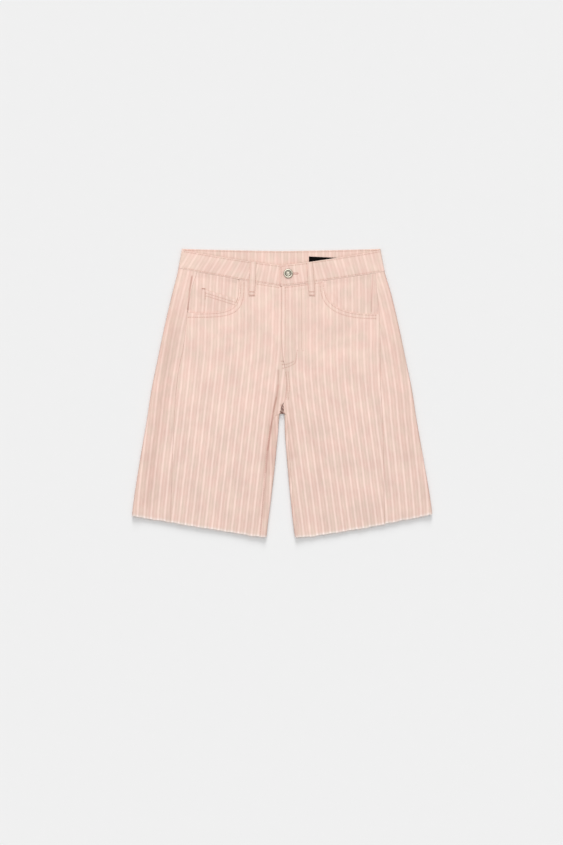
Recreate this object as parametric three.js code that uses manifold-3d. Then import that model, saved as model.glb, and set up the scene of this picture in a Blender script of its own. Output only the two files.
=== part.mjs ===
// Bermuda shorts in striped cotton denim, laid flat on their back with the front up.
//
// Millimetres. +X runs to the viewer's right, +Y from the hems to the waist, and +Z up from the surface
// that the shorts lie on. The origin is the middle of the whole length and width, on that surface.
// Right and left in the names are the wearer's, so the right leg lies on the -X side.
// Every cloth piece is one closed wall: a grid of points on the middle of the cloth, given its thickness.

import * as THREE from "three";
import { mergeVertices } from "three/addons/utils/BufferGeometryUtils.js";
import Module from "manifold-3d";

// Cloth
const DENIM = 1.2; // wall of a single layer
const BAND = 2.4; // waistband: two layers sewn together
const FACING = 1.0; // pocket facing, coin pocket and zip tape
const LABEL = 0.6;
const LOOP = 1.4; // belt loop: a strip folded in three
const SEAM = 0.3; // gap between pieces that are sewn edge to edge or lie on each other

// Heights of the middle of the upper layer above the surface
const THIGH_LEVEL = 3.5; // over the legs, where front and back lie closest
const POCKET_LEVEL = 5.1; // over the pockets and the fly
const FOLD_LEVEL = 5.4; // along the side and inner folds
const BAND_LEVEL = 5.5; // waistband, front layer
const BAND_FOLD_LEVEL = 6.1;
const FOLD_REACH = 15; // how far in from a fold the cloth takes to settle
const FOLD_ROUND = 3; // half width of the rounded fold

// Waistband
const BACK_TOP = 275; // top edge at the side folds
const BACK_DIP = 4.2; // how far the back's top edge dips at the centre
const BAND_WIDTH = 38;
const FRONT_TOP = 243.8; // front top edge at the centre
const FRONT_LOW = 203.8; // front lower edge at the centre
const FRONT_TOP_RISE = 29.5; // rise of the front top edge, centre to side fold
const WAIST_SIDE = 195; // half width of the waist where those rises end
const OVERLAP_END = -2.4; // the left end, which lies on top
const UNDERLAP_END = 30; // the right end, hidden beneath it
const OVERLAP_SETTLE = 62; // where the left end has come down to its normal level

// Fly
const FLY_END = 62; // lowest point of the fly opening
const FLY_WIDTH = 38; // from the edge to the stitched line
const FLY_LIFT = 0.9; // the left front rides up over the zip
const FLY_DIVE = 0.7; // and the right front dips beneath it
const ZIP = { inner: 5.4, outer: 31, low: 70 };

// Hems
const HEM_LOW = -275; // the inner corners of the hems
const HEM_START = 28; // distance of those corners from the centre line
const HEM_SPAN = 258;

// Pockets
const FACING_UNDER = 14; // how far the facing runs beneath the edge of the opening
const FACING_DROP = 1.9; // how far it lies below the front
const COIN = { outer: 146.8, inner: 80, topOuter: 198, topInner: 177, low: 136, drop: 1.3 };

// Belt loops: position of the middle at the top and at the bottom, signed as X
const LOOP_WIDTH = 11;
const LOOP_LOW = 185.5;
const LOOP_PUFF = 0.7;

// Button and label
const BUTTON = { x: 13.2, y: 227.9, radius: 8.8, rim: 1.5, crown: 3.2, shank: 3.0 };
const EYE_CLEARANCE = 0.4;
const BUTTONHOLE = { end: 33.5, slit: 1.6 };
const LABEL_BOX = { inner: 54.6, outer: 112, top: 258.7, low: 226 };

// Outer edge of the shorts, distance from the centre line at each height
const SIDE_LINE = [
  { y: 275, right: 190.0, left: 188.8 },
  { y: 234, right: 199.0, left: 196.4 },
  { y: 188, right: 210.6, left: 209.3 },
  { y: 127, right: 225.1, left: 223.5 },
  { y: 66, right: 237.6, left: 235.9 },
  { y: 6, right: 249.8, left: 248.2 },
  { y: -55, right: 259.4, left: 257.8 },
  { y: -131, right: 272.4, left: 271.2 },
  { y: -222, right: 285.8, left: 285.8 },
  { y: -240, right: 287.4, left: 287.4 },
];

// Inner edge of each leg
const INNER_LINE = [
  { y: -21, right: -0.4, left: 1.0 },
  { y: -32, right: 1.2, left: 3.4 },
  { y: -70, right: 5.0, left: 3.8 },
  { y: -131, right: 10.9, left: 8.1 },
  { y: -192, right: 17.8, left: 13.6 },
  { y: -252, right: 25.7, left: 20.3 },
  { y: -276, right: 28.6, left: 24.3 },
];

// Outseam, where the back that wraps round the side meets the front
const OUTSEAM = [
  { y: 240, right: 157.0, left: 177.0 },
  { y: 196, right: 171.5, left: 180.3 },
  { y: 150, right: 179.6, left: 185.4 },
  { y: 99, right: 184.8, left: 186.7 },
  { y: 29, right: 198.1, left: 187.6 },
  { y: -80, right: 205.7, left: 192.5 },
  { y: -260, right: 211.6, left: 195.5 },
];

// Inner edge of each front: the fly, the centre front seam below it and then the inseam
const FRONT_EDGE = [
  { y: 215, right: -5.0, left: 1.4 },
  { y: 67, right: -5.0, left: 1.4 },
  { y: 62, right: -1.4, left: 1.4 },
  { y: 46, right: -6.2, left: 6.2 },
  { y: 16, right: -9.0, left: 9.0 },
  { y: -6, right: -8.0, left: 8.0 },
  { y: -21, right: -2.4, left: 2.4 },
  { y: -27, right: 9.6, left: 6.6 },
  { y: -36, right: 16.0, left: 7.6 },
  { y: -52, right: 18.9, left: 7.8 },
  { y: -89, right: 23.3, left: 9.2 },
  { y: -131, right: 28.4, left: 12.2 },
  { y: -192, right: 33.2, left: 17.7 },
  { y: -276, right: 39.6, left: 28.4 },
];

// Heights of the cross rows on the inner side; the rows crowd together at the crotch
const INNER_ROWS = [176, 148, 120, 92, 67, 62, 44, 18, -4, -21, -27, -36, -54, -78, -104, -132, -160, -188, -218, -248];

// Largest folds: soft troughs between two points, with their depth and half width
const FOLDS = [
  { name: "left thigh, upper", x0: 32, y0: 2, x1: 55, y1: -76, depth: 1.2, width: 11 },
  { name: "left thigh, lower", x0: 55, y0: -76, x1: 80, y1: -205, depth: 0.9, width: 13 },
  { name: "right crotch", x0: -8, y0: 44, x1: -11, y1: -8, depth: 0.9, width: 7 },
  { name: "right thigh", x0: -19, y0: -52, x1: -31, y1: -168, depth: 0.8, width: 9 },
  { name: "left inner leg", x0: 15, y0: -30, x1: 17, y1: -118, depth: 0.8, width: 9 },
  { name: "right side", x0: -188, y0: 62, x1: -201, y1: -25, depth: 0.7, width: 10 },
];

const SIDES = {
  right: {
    sign: -1,
    lowRise: 34,
    hemRise: 43,
    hemPower: 1.15,
    scoop: { reach: 99, depth: 75, low: 153.4, power: 4.5 },
    facingDrop: FACING_DROP + COIN.drop,
    loop: { top: -53.4, low: -53.4 },
  },
  left: {
    sign: 1,
    lowRise: 28,
    hemRise: 46,
    hemPower: 1.35,
    scoop: { reach: 104, depth: 64.5, low: 151.0, power: 2.8 },
    facingDrop: FACING_DROP,
    loop: { top: 54.2, low: 57.5 },
  },
};

const { clamp, lerp, smoothstep } = THREE.MathUtils;

// A smooth curve through one column of a table, which never swings past its rows
function curveThrough(table, column) {
  const rows = [...table].sort((a, b) => a.y - b.y);
  const slope = rows.slice(1).map((row, i) => (row[column] - rows[i][column]) / (row.y - rows[i].y));
  const tangent = rows.map((row, i) => {
    if (i === 0) return slope[0];
    if (i === rows.length - 1) return slope[i - 1];
    const [before, after] = [slope[i - 1], slope[i]];
    return before * after > 0 ? (2 * before * after) / (before + after) : 0;
  });
  return (y) => {
    const at = rows.findIndex((row) => row.y >= y);
    const i = clamp(at < 0 ? rows.length - 2 : at - 1, 0, rows.length - 2);
    const span = rows[i + 1].y - rows[i].y;
    const t = clamp((y - rows[i].y) / span, 0, 1);
    const [t2, t3] = [t * t, t * t * t];
    return (
      (2 * t3 - 3 * t2 + 1) * rows[i][column] +
      (t3 - 2 * t2 + t) * span * tangent[i] +
      (3 * t2 - 2 * t3) * rows[i + 1][column] +
      (t3 - t2) * span * tangent[i + 1]
    );
  };
}

for (const [name, side] of Object.entries(SIDES)) {
  side.name = name;
  side.out = curveThrough(SIDE_LINE, name);
  side.inner = curveThrough(INNER_LINE, name);
  side.outseam = curveThrough(OUTSEAM, name);
  side.frontEdge = curveThrough(FRONT_EDGE, name);
}

// Edges that run across the shorts, as heights at a distance from the centre line
const frontTop = (across) => FRONT_TOP + FRONT_TOP_RISE * (Math.abs(across) / WAIST_SIDE) ** 1.2;
const frontLow = (side, across) => FRONT_LOW + side.lowRise * (Math.abs(across) / WAIST_SIDE) ** 1.1;
const backTop = (across) => BACK_TOP - BACK_DIP * (1 - Math.min(1, Math.abs(across) / WAIST_SIDE) ** 1.4);
const hem = (side, across) =>
  HEM_LOW + side.hemRise * (Math.max(0, across - HEM_START) / HEM_SPAN) ** side.hemPower;

// The back's lower band edge meets the front's at the side fold
function backLow(side, across) {
  const level = clamp(Math.abs(across) / WAIST_SIDE, 0, 1) ** 3;
  return lerp(backTop(across) - BAND_WIDTH, frontLow(side, across), level);
}

// How far the nearest large fold pushes the cloth down
function troughAt(x, y) {
  let sum = 0;
  for (const fold of FOLDS) {
    const [dx, dy] = [fold.x1 - fold.x0, fold.y1 - fold.y0];
    const t = ((x - fold.x0) * dx + (y - fold.y0) * dy) / (dx * dx + dy * dy);
    const along = clamp(t, 0, 1);
    const away = Math.hypot(x - fold.x0 - along * dx, y - fold.y0 - along * dy);
    sum += fold.depth * Math.exp(-((away / fold.width) ** 2)) * Math.sin(Math.PI * clamp(0.15 + 0.7 * t, 0, 1));
  }
  return sum;
}

// Height of the middle of the upper layer: the fronts, and the backs where they wrap over
function upperLevel(side, across, y) {
  const flat = lerp(THIGH_LEVEL, POCKET_LEVEL, smoothstep(y, 70, 145)) - troughAt(side.sign * across, y);
  const outer = Math.exp(-(((side.out(y) - across) / FOLD_REACH) ** 2));
  const inner = Math.exp(-(((across - side.inner(y)) / FOLD_REACH) ** 2)) * (1 - smoothstep(y, -60, -16));
  return lerp(flat, FOLD_LEVEL, Math.max(outer, inner));
}

// The left front lies over the zip, and the right front dips beneath the left one
function frontLevel(side, across, y) {
  const x = side.sign * across;
  const open = smoothstep(y, FLY_END - 18, FLY_END);
  const lift = FLY_LIFT * (1 - smoothstep(x, FLY_WIDTH - 6, FLY_WIDTH + 14));
  const dive = -FLY_DIVE * smoothstep(x, -24, -3);
  return upperLevel(side, across, y) + open * (side.sign > 0 ? lift : dive);
}

const point = (side, across, y, z) => new THREE.Vector3(side.sign * across, y, z);

// A closed wall from a grid of points on its middle, with half its thickness to each side
function wall(grid, thickness) {
  const [rows, columns] = [grid.length, grid[0].length];
  const positions = [];
  const [alongRow, alongColumn, normal] = [new THREE.Vector3(), new THREE.Vector3(), new THREE.Vector3()];
  for (const half of [thickness / 2, -thickness / 2]) {
    for (let i = 0; i < rows; i++) {
      for (let j = 0; j < columns; j++) {
        alongColumn.subVectors(grid[Math.min(i + 1, rows - 1)][j], grid[Math.max(i - 1, 0)][j]);
        alongRow.subVectors(grid[i][Math.min(j + 1, columns - 1)], grid[i][Math.max(j - 1, 0)]);
        normal.crossVectors(alongRow, alongColumn).normalize();
        const p = grid[i][j];
        positions.push(p.x + normal.x * half, p.y + normal.y * half, p.z + normal.z * half);
      }
    }
  }
  const face = rows * columns;
  const at = (i, j, back = false) => i * columns + j + (back ? face : 0);
  const index = [];
  const quad = (a, b, c, d) => index.push(a, b, c, a, c, d);
  for (let i = 0; i + 1 < rows; i++) {
    for (let j = 0; j + 1 < columns; j++) {
      quad(at(i, j), at(i, j + 1), at(i + 1, j + 1), at(i + 1, j));
      quad(at(i, j, true), at(i + 1, j, true), at(i + 1, j + 1, true), at(i, j + 1, true));
    }
  }
  for (let j = 0; j + 1 < columns; j++) {
    quad(at(0, j), at(0, j, true), at(0, j + 1, true), at(0, j + 1));
    quad(at(rows - 1, j + 1), at(rows - 1, j + 1, true), at(rows - 1, j, true), at(rows - 1, j));
  }
  for (let i = 0; i + 1 < rows; i++) {
    quad(at(i + 1, 0), at(i + 1, 0, true), at(i, 0, true), at(i, 0));
    quad(at(i, columns - 1), at(i, columns - 1, true), at(i + 1, columns - 1, true), at(i + 1, columns - 1));
  }
  if (signedVolume(positions, index) < 0) index.reverse();
  const geometry = new THREE.BufferGeometry();
  geometry.setAttribute("position", new THREE.Float32BufferAttribute(positions, 3));
  geometry.setIndex(index);
  return geometry;
}

function signedVolume(positions, index) {
  const corner = (k) => new THREE.Vector3().fromArray(positions, 3 * index[k]);
  let sum = 0;
  for (let k = 0; k < index.length; k += 3) {
    sum += corner(k).dot(corner(k + 1).cross(corner(k + 2)));
  }
  return sum;
}

// Evenly spaced steps from 0 to 1, crowded towards both ends
const steps = (count) => Array.from({ length: count + 1 }, (_, k) => k / count);
const crowded = (count) => steps(count).map((t) => lerp(t, 0.5 - 0.5 * Math.cos(Math.PI * t), 0.6));

// The cross rows of a panel: how far down each row lies on the inner and on the outer side
function crossRows(top) {
  const inner = [0, ...INNER_ROWS.map((y) => (top - y) / (top - HEM_LOW)), 1];
  return inner.map((t, i) => ({ inner: t, outer: i / (inner.length - 1) }));
}

// A front leg panel before its pocket is cut
function frontPanel(side) {
  const top = (across) => frontLow(side, across) - SEAM;
  const grid = crossRows(top(0)).map((row) => {
    const heightAt = (across, t) => lerp(top(across), hem(side, across), t);
    const inner = settle((across) => side.frontEdge(heightAt(across, row.inner)), 10);
    const outer = settle((across) => side.outseam(heightAt(across, row.outer)) - SEAM / 2, 190);
    return crowded(20).map((s) => {
      const across = lerp(inner + SEAM / 2, outer, s);
      const y = heightAt(across, lerp(row.inner, row.outer, s));
      return point(side, across, y, frontLevel(side, across, y));
    });
  });
  return wall(grid, DENIM);
}

// Repeats a rule that moves a point along a sloping line until the point stays put
function settle(rule, start) {
  let value = start;
  for (let i = 0; i < 12; i++) value = rule(value);
  return value;
}

// The half round of a fold, from the upper layer down to the lower one
function foldArc(side, edge, direction, y, high, low, count) {
  return steps(count).map((t) => {
    const turn = Math.PI * t;
    const across = edge - direction * FOLD_ROUND * (1 - Math.sin(turn));
    return point(side, across, y, (high + low) / 2 + ((high - low) / 2) * Math.cos(turn));
  });
}

// A back leg panel: it lies on the surface, turns up round the side fold and ends at the outseam on top.
// Below the crotch it also turns up round the inner fold and ends at the inseam.
function backPanel(side) {
  const top = (across) => backLow(side, across) - 2 * SEAM;
  const wrapTop = (across) => frontLow(side, across) - 2 * SEAM;
  const low = DENIM / 2;
  const arcSteps = 5;
  const stripSteps = 2;
  const grid = crossRows(top(0)).map((row) => {
    const lowerAt = (across, t) => lerp(top(across), hem(side, across), t);
    const upperAt = (across, t) => lerp(wrapTop(across), hem(side, across), t);
    const outer = settle((across) => side.out(lowerAt(across, row.outer)), 240);
    const outerY = lowerAt(outer, row.outer);
    const level = (across, y) => upperLevel(side, across, y);
    const inner = settle((across) => side.inner(lowerAt(across, row.inner)), 5);
    const innerY = lowerAt(Math.max(inner, 0), row.inner);
    const path = [];
    let start;
    if (innerY < INNER_LINE[0].y - 1) {
      const seam = side.frontEdge(innerY) - SEAM * (1 + 3 * smoothstep(innerY, -40, -26));
      const shoulder = inner + FOLD_ROUND;
      for (let k = 0; k < stripSteps; k++) {
        const across = lerp(seam, shoulder, k / stripSteps);
        path.push(point(side, across, innerY, level(across, innerY)));
      }
      path.push(...foldArc(side, inner, -1, innerY, level(shoulder, innerY), low, arcSteps));
      start = shoulder;
    } else {
      const flat = stripSteps + arcSteps + 1;
      const flatWidth = 22;
      for (let k = 0; k < flat; k++) {
        path.push(point(side, SEAM / 2 + (flatWidth * k) / flat, innerY, low));
      }
      start = flatWidth;
    }
    const end = outer - FOLD_ROUND;
    for (const s of steps(8).slice(1, -1)) {
      const across = lerp(start, end, s);
      path.push(point(side, across, lowerAt(across, lerp(row.inner, row.outer, s)), low));
    }
    const shoulderLevel = level(end, outerY);
    path.push(...foldArc(side, outer, 1, outerY, shoulderLevel, low, arcSteps).reverse());
    const seam = settle((across) => side.outseam(upperAt(across, row.outer)) + SEAM / 2, 190);
    for (const s of steps(5).slice(1)) {
      const across = lerp(end, seam, s);
      const y = upperAt(across, row.outer);
      path.push(point(side, across, y, level(across, y)));
    }
    return path;
  });
  return wall(grid, DENIM);
}

// The scoop of a front pocket: its edge runs down from the waistband and round to the outseam
function scoopEdge(side, count) {
  const { reach, depth, low, power } = side.scoop;
  const centre = side.outseam(low);
  return steps(count).map((t) => {
    const turn = (Math.PI / 2) * t;
    return {
      across: centre - reach * Math.cos(turn) ** (2 / power),
      y: low + depth - depth * Math.sin(turn) ** (2 / power),
    };
  });
}

// 0 in the middle of a pocket's opening, 1 on its edge and more beneath the front
function scoopLevel(side, across, y) {
  const { reach, depth, low, power } = side.scoop;
  const sideways = Math.max(0, side.outseam(low) - across) / reach;
  const down = Math.max(0, low + depth - y) / depth;
  return (sideways ** power + down ** power) ** (1 / power);
}

function scoopCutter(side) {
  const edge = scoopEdge(side, 24);
  const outline = new THREE.Shape();
  const beyond = side.out(side.scoop.low);
  outline.moveTo(side.sign * edge[0].across, BACK_TOP);
  for (const p of edge) outline.lineTo(side.sign * p.across, p.y);
  outline.lineTo(side.sign * beyond, side.scoop.low);
  outline.lineTo(side.sign * beyond, BACK_TOP);
  return new THREE.ExtrudeGeometry(outline, { depth: 20, bevelEnabled: false });
}

function facingLevel(side, across, y) {
  const level = scoopLevel(side, across, y);
  const drop = lerp(1.0, side.facingDrop, smoothstep(level, 0.5, 0.93));
  const beside = smoothstep(side.outseam(y) - across, SEAM, 12);
  return upperLevel(side, across, y) - drop * Math.max(beside, smoothstep(level, 0.8, 0.97));
}

// The piece of denim that shows inside a front pocket
function pocketFacing(side) {
  const top = (across) => frontLow(side, across) - SEAM;
  const low = side.scoop.low - FACING_UNDER;
  const start = side.outseam(side.scoop.low) - side.scoop.reach - FACING_UNDER;
  const grid = steps(9).map((t) =>
    steps(10).map((s) => {
      const outer = settle((across) => side.outseam(lerp(top(across), low, t)) - SEAM, 180);
      const across = lerp(start, outer, s);
      const y = lerp(top(across), low, t);
      return point(side, across, y, facingLevel(side, across, y));
    }),
  );
  return wall(grid, FACING);
}

// A small pocket on the right facing; its lower part is hidden by the front
function coinPocket(side) {
  const grid = steps(6).map((t) =>
    steps(7).map((s) => {
      const across = lerp(COIN.inner, COIN.outer, s);
      const y = lerp(lerp(COIN.topInner, COIN.topOuter, s), COIN.low, t);
      return point(side, across, y, facingLevel(side, across, y) + FACING + SEAM);
    }),
  );
  return wall(grid, FACING);
}

// The waistband is one strip. It starts at its right end beneath the overlap, runs round the right fold,
// across the back, round the left fold and ends on top at the centre front.
function bandFront(side, x) {
  const under = BAND_LEVEL - 1.0 * smoothstep(x, -30, -4);
  const over = BAND_LEVEL + 1.8 * (1 - smoothstep(x, UNDERLAP_END + 2, OVERLAP_SETTLE));
  const fold = Math.exp(-(((WAIST_SIDE - Math.abs(x)) / FOLD_REACH) ** 2));
  return lerp(side.sign < 0 ? under : over, BAND_FOLD_LEVEL, fold);
}

function waistband() {
  const across = 3;
  const arcSteps = 6;
  const low = BAND / 2;
  const grid = steps(across).map((v) => {
    const path = [];
    const half = (side, from, count) => {
      const edge = settle((x) => side.out(lerp(backLow(side, x), backTop(x), v)), 190);
      const end = edge - FOLD_ROUND;
      const front = crowded(count).map((s) => {
        const reach = lerp(from, end, s);
        const y = lerp(frontLow(side, reach), Math.min(frontTop(reach), backTop(reach)), v);
        return point(side, reach, y, bandFront(side, side.sign * reach));
      });
      const y = lerp(backLow(side, edge), backTop(edge), v);
      const high = front.at(-1).z;
      const arc = foldArc(side, edge, 1, y, high, low, arcSteps).slice(1);
      const back = steps(8)
        .slice(1, side.sign < 0 ? undefined : -1)
        .map((s) => {
          const reach = lerp(end, 0, s);
          return point(side, reach, lerp(backLow(side, reach), backTop(reach), v), low);
        });
      return [...front, ...arc, ...back];
    };
    path.push(...half(SIDES.right, -UNDERLAP_END, 18));
    path.push(...half(SIDES.left, OVERLAP_END, 18).reverse());
    return path;
  });
  return wall(grid, BAND);
}

// A keyhole through the left end of the waistband, round at the shank and a slit beyond it
function buttonholeCutter() {
  const outline = new THREE.Shape();
  const radius = BUTTON.shank + EYE_CLEARANCE;
  const half = BUTTONHOLE.slit / 2;
  const opening = Math.asin(half / radius);
  outline.moveTo(BUTTONHOLE.end, BUTTON.y - half);
  outline.lineTo(BUTTONHOLE.end, BUTTON.y + half);
  outline.lineTo(BUTTON.x + radius * Math.cos(opening), BUTTON.y + half);
  outline.absarc(BUTTON.x, BUTTON.y, radius, opening, 2 * Math.PI - opening, false);
  const hole = new THREE.ExtrudeGeometry(outline, { depth: 20, bevelEnabled: false, curveSegments: 12 });
  hole.translate(0, 0, BAND_LEVEL - 1.0 + BAND / 2 + SEAM / 2);
  return hole;
}

// A crowned head with a raised rim on a round shank, which stands on the hidden end of the waistband
function button() {
  const foot = BAND_LEVEL - 1.0 + BAND / 2 + SEAM;
  const underside = BAND_LEVEL + 1.8 + BAND / 2 + SEAM;
  const top = underside + BUTTON.crown;
  const { radius, rim, shank } = BUTTON;
  const profile = [
    [0, foot],
    [shank, foot],
    [shank, underside],
    [radius - 1.2, underside],
    [radius, underside + 0.9],
    [radius - 0.2, top - 0.7],
    [radius - 0.8, top - 0.2],
    [radius - rim, top - 0.1],
    [radius - rim - 0.6, top - 0.9],
    [radius * 0.45, top - 0.5],
    [radius * 0.38, top - 0.1],
    [0, top],
  ].map(([r, z]) => new THREE.Vector2(r, z));
  const geometry = new THREE.LatheGeometry(profile, 28);
  geometry.rotateX(Math.PI / 2);
  geometry.translate(BUTTON.x, BUTTON.y, 0);
  return geometry;
}

// A belt loop starts at the top edge of the waistband and ends on the front below it
function beltLoop(side) {
  const middle = (t) => lerp(side.loop.top, side.loop.low, t);
  const high = frontTop(side.loop.top);
  const edge = frontLow(side, side.loop.top);
  const grid = steps(12).map((t) => {
    const y = lerp(high, LOOP_LOW, t);
    const onBand = smoothstep(y, edge - 6, edge + 1);
    const puff = LOOP_PUFF * Math.sin(Math.PI * t);
    return [-0.5, -0.17, 0.17, 0.5].map((s) => {
      const x = middle(t) + s * LOOP_WIDTH;
      const band = bandFront(side, x) + BAND / 2;
      const front = frontLevel(side, Math.abs(x), y) + DENIM / 2;
      const z = lerp(front, band, onBand) + SEAM + LOOP / 2 + puff + 0.1;
      return new THREE.Vector3(x, y, z);
    });
  });
  return wall(grid, LOOP);
}

// The closed zip behind the fly, as one plain tape
function flyZip() {
  const side = SIDES.left;
  const grid = steps(6).map((t) =>
    steps(3).map((s) => {
      const across = lerp(ZIP.inner, ZIP.outer, s);
      const y = lerp(frontLow(side, across) - SEAM, ZIP.low, t);
      return point(side, across, y, upperLevel(side, across, y) - 0.8);
    }),
  );
  return wall(grid, FACING);
}

// A plain black label on the inside of the back waistband
function neckLabel() {
  const z = BAND + SEAM + LABEL / 2;
  const grid = steps(2).map((t) =>
    steps(3).map((s) => {
      const across = lerp(LABEL_BOX.inner, LABEL_BOX.outer, s);
      return point(SIDES.left, across, lerp(LABEL_BOX.top, LABEL_BOX.low, t), z);
    }),
  );
  return wall(grid, LABEL);
}

// Joins and cuts of closed solids
const wasm = await Module();
wasm.setup();

function toSolid(geometry) {
  const bare = geometry.clone();
  bare.deleteAttribute("normal");
  bare.deleteAttribute("uv");
  const merged = mergeVertices(bare, 1e-4);
  return new wasm.Manifold(
    new wasm.Mesh({
      numProp: 3,
      vertProperties: Float32Array.from(merged.attributes.position.array),
      triVerts: Uint32Array.from(merged.index.array),
    }),
  );
}

function toGeometry(solid) {
  const mesh = solid.getMesh();
  const geometry = new THREE.BufferGeometry();
  geometry.setAttribute("position", new THREE.BufferAttribute(mesh.vertProperties, 3));
  geometry.setIndex(new THREE.BufferAttribute(mesh.triVerts, 1));
  return geometry;
}

const cut = (geometry, cutter) => toGeometry(toSolid(geometry).subtract(toSolid(cutter)));

// Materials: one for each kind of piece, cloned so that every mesh has its own
const denim = new THREE.MeshStandardMaterial({ color: 0xf0d2c6, roughness: 0.9, metalness: 0, side: THREE.DoubleSide });
const wovenBlack = new THREE.MeshStandardMaterial({ color: 0x201913, roughness: 0.7, metalness: 0 });
const nickel = new THREE.MeshStandardMaterial({ color: 0xcfbead, roughness: 0.35, metalness: 1 });

const shorts = new THREE.Group();

function add(name, geometry, material) {
  geometry.computeVertexNormals();
  const mesh = new THREE.Mesh(geometry, material.clone());
  mesh.name = name;
  shorts.add(mesh);
}

for (const side of Object.values(SIDES)) {
  add(`front_${side.name}`, cut(frontPanel(side), scoopCutter(side)), denim);
  add(`back_${side.name}`, backPanel(side), denim);
  add(`pocket_facing_${side.name}`, pocketFacing(side), denim);
  add(`belt_loop_${side.name}`, beltLoop(side), denim);
}
add("coin_pocket", coinPocket(SIDES.right), denim);
add("waistband", cut(waistband(), buttonholeCutter()), denim);
add("fly_zip", flyZip(), denim);
add("label", neckLabel(), wovenBlack);
add("button", button(), nickel);

export default shorts;
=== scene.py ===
# %% [markdown]
# # Striped denim bermuda shorts, laid flat
# The real thing is a pair of knee-length shorts in washed pink cotton denim with raw hems. It lies on its
# back on a pale surface, and the camera looks straight down on it.
# Cloth this thin could be simulated, but a pair that is pressed flat keeps the shape that it was laid in.
# So every panel here is a dense thin shell on the form of its solid, with its creases given one by one.

import math
from types import SimpleNamespace

import bpy
import numpy as np
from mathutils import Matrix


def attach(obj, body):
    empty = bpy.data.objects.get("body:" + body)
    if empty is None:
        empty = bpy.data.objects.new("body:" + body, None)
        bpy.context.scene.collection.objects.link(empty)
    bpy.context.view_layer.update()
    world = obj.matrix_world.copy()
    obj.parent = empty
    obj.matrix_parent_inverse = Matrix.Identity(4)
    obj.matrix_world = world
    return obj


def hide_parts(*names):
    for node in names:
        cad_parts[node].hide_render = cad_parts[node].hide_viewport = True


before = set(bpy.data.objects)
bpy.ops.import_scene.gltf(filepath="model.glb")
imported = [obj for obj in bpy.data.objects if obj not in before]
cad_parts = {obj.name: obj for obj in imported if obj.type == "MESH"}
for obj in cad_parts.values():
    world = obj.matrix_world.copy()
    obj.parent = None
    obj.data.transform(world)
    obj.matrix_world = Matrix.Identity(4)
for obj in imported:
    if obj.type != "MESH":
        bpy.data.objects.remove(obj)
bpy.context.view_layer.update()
print("nodes", sorted(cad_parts))

# %% [markdown]
# ## The camera
# The photo is taken from straight above with a long lens, so the sides of the shorts don't lean.
# One pixel of it is 1.90 mm on the cloth. From that, the height of the whole view follows, and the lens
# follows from the height of the camera.

# %% Camera
MM = 0.001
PIXEL = 1.90 * MM
PHOTO_WIDTH, PHOTO_HEIGHT = 563, 845
SHORTS_CENTRE_PX = (281.75, 393.65)  # where the middle of the shorts lies in the photo
CAMERA_HEIGHT = 5.0
SENSOR = 24.0

camera_data = bpy.data.cameras.new("camera")
camera_data.sensor_fit = "VERTICAL"
camera_data.sensor_height = SENSOR
camera_data.lens = SENSOR * CAMERA_HEIGHT / (PHOTO_HEIGHT * PIXEL)
camera = bpy.data.objects.new("camera", camera_data)
camera.location = (
    (PHOTO_WIDTH / 2 - SHORTS_CENTRE_PX[0]) * PIXEL,
    (SHORTS_CENTRE_PX[1] - PHOTO_HEIGHT / 2) * PIXEL,
    CAMERA_HEIGHT,
)
bpy.context.scene.collection.objects.link(camera)
bpy.context.scene.camera = camera
print("lens", round(camera_data.lens, 1), "mm, view", round(PHOTO_HEIGHT * PIXEL, 3), "m high")

# %% [markdown]
# ## The cut of the shorts
# Each edge of the shorts is a smooth curve through a short table of real sizes in millimetres: the height
# along the shorts, then the distance from the centre line on the wearer's right and left leg.
# The curve is monotone, so it never swings past a row as a plain spline would.

# %% Tables and curves
SIDE_LINE = [  # outer edge
    (275, 188.5, 186.3), (234, 196.2, 194.2), (188, 207.8, 207.5), (127, 222.1, 221.9),
    (66, 234.8, 234.6), (6, 246.9, 246.8), (-55, 256.4, 256.3), (-131, 269.4, 269.8),
    (-222, 282.8, 284.4), (-240, 284.4, 286.0),
]
INNER_LINE = [  # inner edge of each leg
    (-37, 0.4, 0.4), (-39, 4.2, 5.0), (-41, 5.2, 5.8), (-75, 7.6, 6.8), (-108, 10.9, 9.2),
    (-131, 13.1, 11.1), (-192, 20.0, 16.6), (-252, 27.5, 23.0), (-276, 30.0, 26.5),
]
OUTSEAM = [  # where the back, which wraps round the side, meets the front
    (240, 157.0, 177.0), (196, 171.5, 180.3), (150, 179.6, 185.4), (99, 184.8, 186.7),
    (29, 198.1, 187.6), (-80, 205.7, 192.5), (-260, 211.6, 195.5),
]
FRONT_EDGE = [  # fly edge, centre front seam and then the inseam
    (215, -5.0, -0.1), (95, -5.0, 0.0), (67, -5.4, 3.0), (62, -3.7, 3.7), (46, -6.2, 6.2),
    (16, -9.0, 9.0), (-6, -8.0, 8.0), (-14, -6.0, 5.6), (-21, -1.0, 3.0), (-30, 1.8, 3.4), (-37, 2.8, 4.0),
    (-40, 8.0, 9.4), (-46, 14.5, 10.2), (-54, 18.9, 10.8), (-89, 23.3, 12.2), (-131, 28.4, 15.4),
    (-192, 33.2, 21.0), (-276, 39.6, 31.5),
]


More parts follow.
